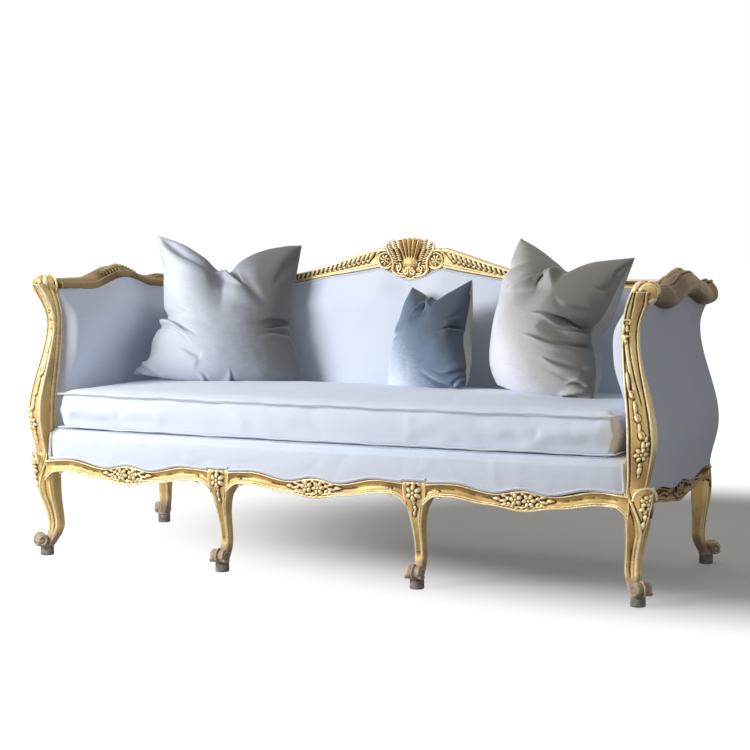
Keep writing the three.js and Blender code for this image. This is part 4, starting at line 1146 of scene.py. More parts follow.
def arm_post():
    s = sizes()
    form = Form()
    heights = np.linspace(LEG_TOP + 0.0003, 0.812, 190)
    width, outer = post_width(heights), post_outer(heights)
    t = np.linspace(0, 1, 52)
    rows = []
    for z, w, out in zip(heights, width, outer):
        crown = 0.0022 * (1 - (2 * t - 1) ** 2)
        relief = s.bead * (1.1 * bump(t, 0.945, 0.05) + 0.9 * bump(t, 0.055, 0.05))
        flutes = 0.003 * bump(t, 0.15, 0.05) * smooth(z, 0.36, 0.44)
        hollow = 0.0026 * bump(t, 0.865, 0.045)
        line, upper = curve(POST_LINE, z), smooth(z, 0.5, 0.545)
        groove = 0.0042 * bell(t, line, 0.035) * upper
        groove = groove + 0.002 * bell(t, line + 0.27, 0.03) * upper * (1 - smooth(z, 0.68, 0.7))
        rib = 0.003 * bump(t, line + 0.135, 0.11) * upper * (1 - smooth(z, 0.68, 0.72))
        band = 0.0016 * bump(t, 0.5 * (line + 0.29), 0.5 * (line - 0.27)) * upper
        strip = 0.0024 * bump(t, 0.5 * (line + 1), 0.5 * (0.94 - line)) * smooth(z, 0.7, 0.735)
        depth = crown + relief + rib + band + strip - flutes - hollow - groove
        bevel = 0.011 * smooth(z, 0.772, 0.812)
        face = out - (bevel + t * (w - bevel))[:, None] * FACE_WAY + depth[:, None] * FACE_OUT
        inner = face[-1]
        side_y = np.linspace(inner[1] + 0.003, POST_BACK, 40)
        hidden = 0.0055 * smooth(side_y, -0.3045, -0.3015)
        lines = 0.005 * (bell(side_y, -0.3345, 0.0024) + bell(side_y, -0.313, 0.003))
        lines = lines - 0.0016 * bump(side_y, -0.324, 0.007)
        side_in = np.column_stack([inner[0] + hidden + lines, side_y])
        rear_x = np.linspace(inner[0] + 0.01, out[0] - 0.01, 8)
        rear = np.column_stack([rear_x, np.full(8, POST_BACK)])
        run = np.linspace(0, 1, 22)
        wave = 0.0018 * (bump(run, 0.3, 0.13) + bump(run, 0.66, 0.13))
        wave = wave - s.bead * 0.8 * bump(run, 0.06, 0.07)
        out = face[0]
        side_y = mix(out[1] + 0.003, POST_BACK, run)
        wave = wave + 0.0055 * smooth(side_y, -0.3165, -0.314)
        side_out = np.column_stack([out[0] - wave, side_y])[::-1]
        ring = np.concatenate([face, side_in, rear, side_out])
        rows.append(xyz(*ring.T, z))
    form.skin(rows)
    carve_post(form)
    carve_head(form)
    return form


def carve_post(form):
    """The leaf, the string of husks, the flower and the drop on a post's face."""

    def at(z, share_in):
        return float(share_in * post_width(z)), z

    for z, share_in, size in ((0.548, 0.7, 0.008), (0.49, 0.58, 0.0084), (0.446, 0.48, 0.0084)):
        x, y = at(z, share_in)
        boss(form, on_post, (x, y), (size * 1.25, size * 0.78, 0.008), 1.45)
        boss(form, on_post, (x, y - 0.4 * size), (size * 0.5, size * 0.5, 0.0108), 0)
        hook = volute((x, y), 1.35 * size, 0.9 * size, 0.55, 1.2, 1, 18)
        strand(form, on_post, hook, taper(18, 0.0028, 0.0018), 0.0015)
    for high, low, a in (
        (0.61, 0.56, 0.8), (0.536, 0.498, 0.6), (0.48, 0.455, 0.5), (0.434, 0.414, 0.38),
    ):
        husk(form, on_post, at(high, a), (high - low + 0.01, 0.01, 0.007), -1.47)
    flower(form, on_post, at(0.398, 0.46), 0.019, 6, 0.9, 0.46)
    boss(form, on_post, at(0.424, 0.24), (0.009, 0.0056, 0.007), 2.2)
    boss(form, on_post, at(0.438, 0.28), (0.008, 0.0048, 0.006), 1.9)
    husk(form, on_post, at(0.378, 0.46), (0.02, 0.0105, 0.0065), -1.6)
    boss(form, on_post, at(0.357, 0.47), (0.0125, 0.007, 0.0075), 1.57)
    husk(form, on_post, at(0.347, 0.47), (0.012, 0.007, 0.005), -1.57)
    # A leaf with two balls below the square step of the inner strip.
    step = along([at(0.738, 1.0), at(0.739, 0.66), at(0.737, 0.6), at(0.728, 0.6)], 24)
    strand(form, on_post, step, 0.003, 0.001)
    for high, a, long in ((0.73, 0.9, 0.034), (0.726, 0.72, 0.022), (0.704, 0.84, 0.03)):
        husk(form, on_post, at(high, a), (long, 0.0105, 0.0075), -1.62)
    for z, a in ((0.712, 0.7), (0.697, 0.7), (0.684, 0.76)):
        boss(form, on_post, at(z, a), (0.0056, 0.0048, 0.0085), 0)


def carve_head(form):
    """The rolled leaf in which an arm rail ends."""
    middle = np.array([0.9235, -0.322, 0.806])
    out = np.array([FACE_OUT[0], FACE_OUT[1], 0])
    side = np.array([FACE_WAY[0], FACE_WAY[1], 0])
    up = np.array([0, 0, 1.0])

    def head(points):
        return middle + points[..., :1] * side + points[..., 1:2] * up + points[..., 2:] * out

    turn = circle(60)
    rows = []
    for depth, reach in (
        (-0.034, 0.028), (-0.022, 0.029), (-0.01, 0.03), (0.004, 0.03), (0.014, 0.0285),
        (0.021, 0.025), (0.025, 0.019), (0.027, 0.011), (0.0275, 0.004),
    ):
        drawn = reach * (1 + 0.1 * np.cos(2 * (turn - 0.5)))
        rows.append(xyz(drawn * np.cos(turn), drawn * np.sin(turn), depth))
    form.skin(head(np.array(rows)))
    # Lobes of the leaf, rolled from its outer top over to the eye at its inner foot.
    lobes = (
        ((-0.022, -0.018), (-0.031, 0.002), (-0.022, 0.02), (-0.004, 0.028), 0.008, 0.006),
        ((-0.016, -0.01), (-0.018, 0.006), (-0.006, 0.016), (0.012, 0.021), 0.0078, 0.015),
        ((-0.01, -0.012), (-0.004, 0.0), (0.008, 0.007), (0.021, 0.008), 0.0076, 0.019),
        ((-0.008, -0.021), (0.004, -0.018), (0.016, -0.01), (0.027, 0.0), 0.008, 0.015),
    )
    for *path, thick, high in lobes:
        line = along(path, 30)
        t = np.linspace(0, 1, 30)
        line = xyz(*line.T, high + 0.006 * np.sin(math.pi * t) - 0.01 * t**2)
        swell = np.sin(math.pi * np.clip(t * 0.9 + 0.08, 0, 1))
        form.tube(head(line), thick * (0.42 + 0.58 * swell), 12)
    outer = along([(0.004, 0.029), (0.019, 0.024), (0.029, 0.012), (0.032, -0.002)], 30)
    outer = xyz(*outer.T, taper(30, 0.002, -0.006))
    form.tube(head(outer), 0.008 * np.sin(math.pi * np.linspace(0.12, 0.9, 30)) ** 0.5, 12)
    curl = volute((-0.018, -0.019), 0.0085, 0.0025, 1.15, 2.4, 1, 36)
    form.tube(head(xyz(*curl.T, 0.0225)), taper(36, 0.0042, 0.003), 9)
    eye = xyz(-0.018, -0.019, np.array([0.014, 0.0245, 0.0265]))
    form.tube(head(eye), np.array([0.005, 0.005, 0.0026]), 10)
    collar = xyz(0.0325 * np.cos(turn), 0.0325 * np.sin(turn), -0.026)
    form.tube(head(np.concatenate([collar, collar[:1]])), 0.0032, 8)


ARM_SECTION = [
    (0.02, -0.56), (0.0, -0.44), (0.012, -0.3), (0.055, -0.2), (0.11, -0.215), (0.14, -0.255),
    (0.19, -0.205), (0.3, -0.08), (0.44, -0.02), (0.58, 0.0), (0.72, -0.045), (0.84, -0.15),
    (0.93, -0.29), (0.985, -0.45), (1.0, -0.6), (0.985, -0.76), (0.92, -0.88), (0.82, -0.965),
    (0.7, -1.0), (0.48, -0.94), (0.26, -0.7),
]


def arm_rail():
    form = Form()
    edge, width, depth = 0.872, 0.083, 0.066
    section = np.array(ARM_SECTION)
    section = np.concatenate([section, section[:1]])
    outline = along(section, 97)[:-1]
    places = np.linspace(POST_BACK + 0.0003, 0.354, 200)
    front = 1 - smooth(places, POST_BACK, -0.14)
    round_off = np.sqrt(1 - 0.56 * np.clip((places - 0.3) / 0.056, 0, 1) ** 2)
    sink = 0.0045 * bell(places, 0.268, 0.018)
    wide = (width * (1 - 0.2 * front) - sink) * round_off
    deep = depth * (1 - 0.22 * front) * mix(1, round_off, 0.4)
    across = edge + wide[:, None] * outline[None, :, 0]
    lines = bell(outline[:, 0], 0.76, 0.022) + bell(outline[:, 0], 0.885, 0.016)
    groove = 0.0024 * lines * (outline[:, 1] > -0.3)
    height = (arm_top(places) - 0.8 * sink)[:, None] + deep[:, None] * outline[None, :, 1] - groove
    form.skin(xyz(across, places[:, None], height))

    def onto(points):
        """x along the rail, y across its top from the inner edge outwards, z out of it."""
        x, y, z = parts(points)
        t = y / width
        top = arm_top(x) + depth * np.interp(t, outline[12:66, 0], outline[12:66, 1])
        lean = np.clip((t - 0.58) * 1.5, -0.7, 0.9)
        return xyz(edge + y + z * lean, x, top + z * np.sqrt(1 - lean**2))

    # Leaf on the hump: lobes that part from its middle, over the ridge and down the inner side.
    for side in (-1, 1):
        for i in range(6):
            x = HUMP + side * (0.008 + 0.0165 * i)
            size = 1 - 0.09 * i
            for y, lobe, turn in (
                (0.02, (0.034, 0.0135, 0.0078), math.pi / 2 - side * 0.75),
                (0.023, (0.02, 0.011, 0.0066), -math.pi / 2 + side * 0.6),
            ):
                husk(form, onto, (x, y), size * np.array(lobe), turn)
    boss(form, onto, (HUMP, 0.03), (0.018, 0.0095, 0.0095), math.pi / 2)
    rib = [(-0.16, 0.06), (-0.08, 0.056), (0, 0.0615), (0.08, 0.056), (0.16, 0.06)]
    strand(form, onto, along(sided(1, rib, HUMP), 70), swelling(70, 0.0016, 0.0014), 0.0002)
    # The ear at the rear corner.
    for t in (0.32, 0.52, 0.7):
        path = along([(0.272, width * t), (0.305, width * t + 0.002), (0.345, width * t - 0.002)], 24)
        strand(form, onto, path, swelling(24, 0.0018, 0.003))
    return form


# Crest


def crest_rail():
    s = sizes()
    form = Form()
    places = np.linspace(0.1035, 0.871, 260)
    top, foot = crest_top(places), crest_foot(places)
    t = np.linspace(0, 1, 34)
    grown = smooth(places, 0.46, 0.4)[:, None]
    cove = 0.0045 * np.sin(math.pi * np.clip((t - 0.18) / 0.5, 0, 1))
    beads = s.bead * (bump(t, 0.08, 0.08) + 0.8 * bump(t, 0.78, 0.06) + bump(t, 0.93, 0.07))
    front = 0.298 + cove[None] * mix(1, 0.5, grown) - beads[None]
    height = top[:, None] + (foot - top)[:, None] * t[None]
    under = np.linspace(0.1, 1, 6)[None]
    back_y = np.full((260, 6), 0.3545)
    all_along = np.ones((260, 1))
    y = [front, mix(0.298, 0.352, under) * all_along, back_y, mix(0.352, 0.301, under) * all_along]
    z = [
        height,
        foot[:, None] - 0.0005 + 0 * under,
        mix(foot[:, None] + 0.003, top[:, None] - 0.003, np.linspace(0, 1, 6)[None]),
        top[:, None] + 0.0015 * np.sin(math.pi * under),
    ]
    form.skin(xyz(places[:, None], np.concatenate(y, 1), np.concatenate(z, 1)))

    def onto(points):
        x, h, out = parts(points)
        return xyz(x, 0.3 - out, h + crest_top(x))

    # Slanted lobes of leaf, smaller towards the end.
    count = 17
    for i in range(count):
        x = 0.128 + 0.0162 * i
        size = 1 - 0.48 * i / count
        lobe, ball = size * np.array((0.034, 0.014, 0.0095)), size * np.array((0.0062, 0.005, 0.0068))
        husk(form, onto, (x - 0.006, -0.0035), lobe, math.radians(306))
        boss(form, onto, (x + 0.016, -0.029 * size), ball, 0.5)
    edge = along([(0.115, -0.044), (0.2, -0.038), (0.3, -0.029), (0.4, -0.02), (0.44, -0.017)], 90)
    strand(form, onto, edge, 0.0023, 0.0)
    upper = along([(0.112, -0.001), (0.2, -0.0015), (0.3, -0.001), (0.42, -0.001)], 90)
    strand(form, onto, upper, 0.0026, -0.001)
    return form


def crest_shell():
    form = Form()
    # The board behind the shell, which dips to a point in the middle.
    half = [
        (0.106, 0.9115), (0.092, 0.858), (0.06, 0.842), (0.04, 0.8345), (0.015, 0.823), (0, 0.8195),
    ]
    lower = along(sided(-1, half) + half[-2::-1], 80)
    upper = np.column_stack([lower[:, 0], np.maximum(crest_top(lower[:, 0]) - 0.001, 0.905)])
    rows = []
    for t in np.linspace(0, 1, 24):
        edge = mix(lower, upper, t)
        rows.append(xyz(edge[:, 0], 0.298 - 0.004 * math.sin(math.pi * min(1, 1.6 * t)), edge[:, 1]))
    front = np.array(rows)
    back = front.copy()
    back[..., 1] = 0.3545
    form.skin(np.concatenate([front, back[:, ::-1]], 1))

    def onto(points):
        x, h, out = parts(points)
        return xyz(x, 0.297 - out, h)

    spring = 0.8395
    # The broad fan: five ribs with four deep flutes between them.
    u = np.linspace(-1, 1, 121)[None]
    v = np.linspace(0, 1, 44)[:, None]
    turn = u * math.radians(24)
    rib = np.cos(u * math.pi * 2.5) ** 2
    scallop = mix(0.034, 0.1055 + 0.0035 * rib - 0.003 * u**4, v)
    x = np.sin(turn) * scallop
    z = spring + np.cos(turn) * scallop
    open_flute = smooth(v, 0.12, 0.34) * (1 - rib)
    depth = 0.009 + 0.016 * v**0.8 - 0.0125 * open_flute - 0.005 * v**8
    front_side, back_side = xyz(x, 0.297 - depth, z), xyz(x, 0.33, z)
    form.skin(np.concatenate([front_side, back_side[:, ::-1]], 1))
    # Ladders of beads down both sides, in two curved bands.
    for side in (-1, 1):
        for band, points in enumerate((
            [(0.0535, 0.939), (0.047, 0.916), (0.039, 0.896), (0.0345, 0.879)],
            [(0.069, 0.929), (0.061, 0.906), (0.052, 0.889), (0.047, 0.87)],
        )):
            for i, bead in enumerate(along(sided(side, points), 10 - band)):
                turn = side * (0.5 - 0.03 * i)
                boss(form, onto, bead, (0.0088, 0.0031, 0.0085), turn, 0.005 - 0.0004 * i)
        # The frame of the shell, a scroll inside it, the frame's foot and the curl it ends in.
        outer_frame = [
            (0.064, 0.9385), (0.08, 0.923), (0.0715, 0.903), (0.06, 0.885), (0.056, 0.865),
            (0.0575, 0.848), (0.046, 0.835), (0.026, 0.83), (0.011, 0.829),
        ]
        scroll = [
            (0.034, 0.872), (0.03, 0.86), (0.033, 0.85), (0.039, 0.847), (0.04, 0.856),
            (0.0345, 0.859),
        ]
        foot = [(0.04, 0.844), (0.037, 0.839), (0.024, 0.8365), (0.015, 0.8385)]
        for path, radius, lift in (
            (outer_frame, swelling(90, 0.0022, 0.0032, 0.7), 0.004),
            (scroll, taper(40, 0.003, 0.0022), 0.006),
            (foot, taper(30, 0.0044, 0.0026), 0.005),
        ):
            strand(form, onto, along(sided(side, path), len(radius)), radius, lift)
        curl = volute((side * 0.012, 0.844), 0.0105, 0.003, 1.2, math.pi / 2, side, 36)
        strand(form, onto, curl, taper(36, 0.0044, 0.0032), 0.01)
        boss(form, onto, (side * 0.012, 0.8435), (0.0048, 0.0048, 0.015))
        # Rosettes in round frames, and the leaf that runs out from each to its rail.
        centre = (side * 0.085, 0.88)
        strand(form, onto, volute(centre, 0.0215, 0.0215, 1.0, 0, 1, 60), 0.0026, 0.002)
        flower(form, onto, centre, 0.017, 7, 0.2, 0.36)
        flower(form, onto, centre, 0.0095, 5, 0.5, 0.95)
        for path, lift in (
            ([(0.064, 0.894), (0.078, 0.9075), (0.098, 0.9085), (0.114, 0.898)], 0.003),
            ([(0.062, 0.862), (0.078, 0.8545), (0.097, 0.858), (0.11, 0.868)], 0.002),
        ):
            strand(form, onto, along(sided(side, path), 40), swelling(40, 0.0018, 0.003), lift)
    boss(form, onto, (0, 0.87), (0.023, 0.027, 0.015), math.pi / 2, 0.001)
    boss(form, onto, (0, 0.856), (0.015, 0.019, 0.014), math.pi / 2, 0.001)
    base = along([(-0.04, 0.8375), (-0.02, 0.8275), (0, 0.8222), (0.02, 0.8275), (0.04, 0.8375)], 50)
    strand(form, onto, base, 0.0034, 0.001)
    return form


# Upholstery


def slab_mesh(name, front, back):
    """A pad between two grids of (rows, columns, 3), with smooth shading."""
    form = Form()
    rows, columns = front.shape[:2]
    ring = np.concatenate([front, back[:, ::-1]], 1)
    form.skin(ring, capped=False)
    count = 2 * columns
    k = np.arange(columns - 1)
    for row, turned_over in ((0, True), (rows - 1, False)):
        a = row * count + k
        b = row * count + k + 1
        c = row * count + count - 2 - k
        d = row * count + count - 1 - k
        form.quads.append(np.stack([d, c, b, a] if turned_over else [a, b, c, d], -1))
    return closed(form, name)


def creases(x, y, seed, count, long, wide):
    """Soft irregular puckers over a surface, from a fixed seed."""
    random = np.random.default_rng(seed)
    total = np.zeros(np.broadcast(x, y).shape)
    for _ in range(count):
        cx, cy = random.uniform(x.min(), x.max()), random.uniform(y.min(), y.max())
        turn, size = random.uniform(0, math.pi), random.uniform(0.6, 1.3)
        u = (x - cx) * math.cos(turn) + (y - cy) * math.sin(turn)
        v = (y - cy) * math.cos(turn) - (x - cx) * math.sin(turn)
        total += random.uniform(-1, 1) * np.exp(-((u / (long * size)) ** 2) - (v / (wide * size)) ** 2)
    return total


def braid(form, path, out, wide=None):
    """Gimp along a path: a flat braid with a scalloped edge and a row of knots."""
    wide = wide or sizes().gimp
    path = np.asarray(path, float)
    gone = gone_along(path)
    at = np.linspace(0, gone[-1], max(8, int(gone[-1] / 0.0016)))
    line = read_at(at, gone, path)
    outs = read_at(at, gone, np.broadcast_to(np.asarray(out, float), path.shape))
    wave = np.cos(2 * math.pi * at / 0.0062)
    form.tube(line + outs * 0.0006, wide / 2 * (1 + 0.16 * wave), 10, 0.3, outs)
    knots = 0.5 + 0.5 * wave
    form.tube(line + outs * 0.0016, 0.0011 + 0.0014 * knots, 8, 1.0, outs)


def piping(form, path, out, radius):
    gone = gone_along(path)
    at = np.linspace(0, gone[-1], max(8, int(gone[-1] / 0.004)))
    form.tube(read_at(at, gone, path), radius, 10, 1.0, out)


def arm_pad():
    u = np.linspace(0, 1, 90)[:, None]
    v = np.linspace(0, 1, 80)[None]
    z = mix(PAD_FOOT, WALL_HEAD, v) + 0 * u
    y = mix(-0.303, inner_y(z) + 0.01, u**1.35)
    lift = (arm_top(y) - ARM_TOP) * v
    # The front edge rolls round to the post's inner edge.
    edge = post_inner_x(z) + 0.0035
    roll = 1 - np.sqrt(np.clip(1 - (1 - np.clip((y + 0.303) / 0.026, 0, 1)) ** 2, 0, 1))
    soft = np.maximum((edge - inner_x(z)) * roll, 0.008 * (1 - smooth(1 - v, 0, 0.16)))
    puff = 0.0035 * np.sin(math.pi * u) * np.sin(math.pi * v)
    swell = (0.009 + 0.012 * bell(z, 0.595, 0.07)) * smooth(v, 0.1, 0.35) * (1 - smooth(v, 0.75, 0.95))
    puff = puff + swell * (1 - smooth(u, 0.1, 0.55)) * (1 - roll)
    wrinkle = 0.001 * creases(y, z, 11, 60, 0.09, 0.02)
    front = xyz(inner_x(z) + soft - puff + wrinkle, y, z + lift)
    back = xyz(inner_x(z) + 0.027, y, z + lift)
    return slab_mesh("arm_pad", front, back)


def back_pad():
    u = np.linspace(0, 1, 200)[:, None]
    v = np.linspace(0, 1, 80)[None]
    z = mix(PAD_FOOT, WALL_HEAD, v) + 0 * u
    half = inner_x(z) - 0.0005
    x = mix(-half, half, u)
    lift = crest_lift(x) * v
    dip = smooth(np.abs(x), 0.115, 0.0) * v**3
    lift = lift - DIP * dip
    soft = 0.008 * (1 - smooth(1 - v, 0, 0.16))
    puff = 0.004 * np.sin(math.pi * v) * np.sin(math.pi * u)
    wrinkle = 0.0012 * creases(x, z, 23, 110, 0.1, 0.025)
    front = xyz(x, inner_y(z) + soft - puff + wrinkle, z + lift)
    back = xyz(x, inner_y(z) + 0.02, z + lift)
    return slab_mesh("back_pad", front, back)


def arm_cover():
    v = np.linspace(0, 1, 80)[None]
    u = np.linspace(0, 1, 90)[:, None]
    top, _ = rail_edges(np.clip(mix(-0.2935, 0.35, u), -0.2935, 0.3065), *SIDE_BAY)
    foot = np.where(u < 0.9, top + 0.0012, WALL_FOOT)
    z = mix(foot, WALL_HEAD, v)
    start = -0.3155
    y_corner = outer_y(z) - 0.03
    straight = np.clip(u / 0.86, 0, 1)
    turn = np.clip((u - 0.86) / 0.14, 0, 1) * math.pi / 2
    lift = (arm_top(mix(start, y_corner, straight)) - ARM_TOP) * v * smooth(v, 0.3, 1)
    wrinkle = 0.0007 * creases(mix(start, 0.35, u) + 0 * z, z, 31, 60, 0.1, 0.03)

    def skin(inset):
        reach = 0.03 - inset + wrinkle
        x = outer_x(z) - 0.03 + reach * np.cos(turn)
        y = mix(start, y_corner, straight) + reach * np.sin(turn)
        return xyz(x, y, z + lift)

    return slab_mesh("arm_cover", skin(0.0), skin(0.0014))


def back_cover():
    u = np.linspace(0, 1, 200)[:, None]
    v = np.linspace(0, 1, 80)[None]
    z = mix(RAIL_TOP + 0.0008, WALL_HEAD, v) + 0 * u
    half = outer_x(z) - 0.0303
    x = mix(-half, half, u)
    lift = crest_lift(x) * v
    lift = lift - DIP * smooth(np.abs(x), 0.115, 0.0) * v**3
    wrinkle = 0.0008 * creases(x, z, 37, 110, 0.12, 0.03)
    front = xyz(x, outer_y(z) + wrinkle, z + lift)
    back = xyz(x, outer_y(z) - 0.0014 + wrinkle, z + lift)
    return slab_mesh("back_cover", front, back)


def seat_deck():
    """The stuffed seat under the cushion, which rolls over its front edge to the carved rail."""
    half = 0.8715
    x = spaced((-half, -half + 0.05, half - 0.05, half), (14, 190, 14))
    face = front_face(x) + 0.003
    corner = smooth(np.abs(x), half - 0.04, half)
    in_middle = np.abs(x) < MIDDLE_BAY[1]
    top, _ = rail_edges(np.abs(np.where(in_middle, 0, x)), *OUTER_BAY)
    centre_top, _ = rail_edges(x, *MIDDLE_BAY)
    lip = np.where(in_middle, centre_top, np.where(np.abs(x) < OUTER_BAY[0], 0.2945, top)) + 0.0008
    t = np.linspace(0, 1, 40)
    height = lip[:, None] + (DECK_TOP - lip)[:, None] * t
    pucker = 0.0011 * np.sin(x * 2 * math.pi / 0.021 + 2 * np.sin(x * 31))[:, None] * np.exp(-t * 7)
    bulge = 0.009 * np.sin(math.pi * np.clip(t * 0.72 + 0.06, 0, 1)) ** 0.7 + 0.001
    roll = 0.022 * smooth(t, 0.72, 1.0) ** 2
    y = face[:, None] - bulge + roll + pucker + 0.006 * corner[:, None] ** 2
    y = y + 0.0012 * creases(x[:, None] + 0 * t, height, 5, 90, 0.06, 0.012)
    wide = x[:, None] + np.sign(x)[:, None] * corner[:, None] * (0.0125 - 0.004 * t**3)
    run = np.linspace(0.02, 1, 40)
    column, face = x[:, None], face[:, None]
    back_y, foot = 0.2417, 0.3302
    front = xyz(wide, y, height)
    deck = xyz(column, mix(y[:, -1:], 0.2415, run), DECK_TOP - 0.0002)
    rear = xyz(column, back_y, mix(DECK_TOP, foot, run[::5]))
    under = xyz(column, mix(back_y, face + 0.0125, run[::2]), foot)
    behind = xyz(column, face + 0.0117, mix(foot, lip[:, None], run[::8]))
    return closed(Form().skin(np.concatenate([front, deck, rear, under, behind], 1)), "seat_deck")


def plumped(mesh, grain, swell, pressure=4.0, frames=20):
    """Covers a closed shape evenly with a fine cloth skin and blows it up a little."""
    work = linked("cloth", mesh.copy())
    remesh = work.modifiers.new("skin", "REMESH")
    remesh.mode = "VOXEL"
    remesh.voxel_size = grain
    return blown(baked(work), swell, pressure, frames)


def blown(mesh, swell, pressure=4.0, frames=20):
    """Blows a cloth skin up a little as it stands, with no point going further than swell."""
    before = points_of(mesh)
    made = cloth_run(mesh, pressure, frames)
    way = points_of(made) - before
    far = np.linalg.norm(way, axis=1)[:, None]
    set_points(made, before + way * np.minimum(1, swell / np.maximum(far, 1e-9)))
    return made


def cloth_run(mesh, pressure, frames):
    scene = bpy.context.scene
    work = linked("cloth", mesh)
    cloth = work.modifiers.new("cloth", "CLOTH")
    cloth.settings.use_pressure = True
    cloth.settings.uniform_pressure_force = pressure
    cloth.settings.effector_weights.gravity = 0
    cloth.settings.quality = 5
    cloth.settings.tension_stiffness = 12
    cloth.settings.bending_stiffness = 0.4
    cloth.point_cache.frame_start = 1
    cloth.point_cache.frame_end = frames
    for at in range(1, frames + 1):
        scene.frame_set(at)
        bpy.context.view_layer.update()
    graph = bpy.context.evaluated_depsgraph_get()
    made = bpy.data.meshes.new_from_object(work.evaluated_get(graph), depsgraph=graph)
    bpy.data.objects.remove(work)
    scene.frame_set(1)
    return made


def softened(mesh, rounds):
    edges = edges_of(mesh)
    set_points(mesh, averaged(points_of(mesh), edges, rounds, (0.55, -0.5)))


def subdivided(mesh, name):
    work = linked(name, mesh)
    level = work.modifiers.new("finer", "SUBSURF")
    level.levels = level.render_levels = 1
    made = baked(work)
    made.shade_smooth()
    return made


CUSHION = {"half": 0.855, "foot": 0.3823}


def cushion_edge(t, z, inset=0.0):
    """A point on the cushion's border, t once round from its rear left corner by its front."""
    half, rear = CUSHION["half"] - inset, 0.2405 - inset
    t = np.asarray(t, float) % 1.0 * 4
    side, part = np.floor(t).astype(int) % 4, t % 1.0
    x = np.choose(side, [-half, mix(-half, half, part), half, mix(half, -half, part)])
    front, ends = (front_face(where) + 0.004 + inset for where in (x, half))
    y = np.choose(side, [mix(rear, ends, part), front, mix(ends, rear, part), rear])
    return xyz(x, y, z)


def cushion_crown(x, y):
    """How far the seat cushion's top swells over its border."""
    a = np.clip(np.abs(x) / CUSHION["half"], 0, 1)
    b = np.clip(np.abs(y + 0.066) / 0.31, 0, 1)
    return 0.0105 * (1 - a**4) * (1 - b**4)


def seat_cushion():
    """A boxed cushion with a crowned top, slightly smaller than it ends up."""
    t = spaced((0, 0.25, 0.5, 0.75, 1), (60, 180, 60, 120))[:-1]
    border = cushion_edge(t, 0.0, 0.004)
    middle = np.array([0, -0.06, 0])
    reaches = (0.02, 0.25, 0.5, 0.7, 0.84, 0.93, 0.975)
    rows = [(0.0015, reach) for reach in reaches]
    rows += [
        (0.002, 0.99), (0.006, 1.0), (0.02, 1.003), (0.056, 1.006), (0.092, 1.003), (0.106, 1.0),
        (0.11, 0.99),
    ]
    rows = [mix(middle, border, reach) * (1, 1, 0) + (0, 0, CUSHION["foot"] + z) for z, reach in rows]
    for reach in reversed(reaches):
        flat = mix(middle, border, reach)
        crown = cushion_crown(flat[:, 0], flat[:, 1])
        rows.append(flat * (1, 1, 0) + xyz(0, 0, CUSHION["foot"] + 0.1095 + crown))
    form = Form().skin(np.array(rows))
    made = plumped(form.mesh("cushion"), 1.15 * sizes().cloth_grain, sizes().cushion_puff, 3.0, 14)
    points = points_of(made)
    x, y, z = points.T
    flat = z < CUSHION["foot"] + 0.004
    points[:, 2] = np.maximum(points[:, 2], CUSHION["foot"] + 0.0006)
    top = smooth(z, 0.47, 0.494)
    points[:, 2] += top * 0.002 * creases(x, y, 3, 70, 0.09, 0.022)
    front = (1 - smooth(y, -0.335, -0.3)) * (1 - top) * (~flat)
    points[:, 1] += front * 0.0022 * creases(x, z, 9, 120, 0.07, 0.018)
    points[:, 1] -= front * 0.0035 * np.sin(math.pi * np.clip((z - 0.384) / 0.108, 0, 1))
    set_points(made, points)
    softened(made, 4)
    mesh = subdivided(made, "seat_cushion")
    points = points_of(mesh)
    points[:, 1] = np.minimum(points[:, 1], 0.2412)
    points[:, 0] = np.clip(points[:, 0], -0.8585, 0.8585)
    points[:, 2] = np.maximum(points[:, 2], CUSHION["foot"] + 0.0004)
    set_points(mesh, points)
    return mesh


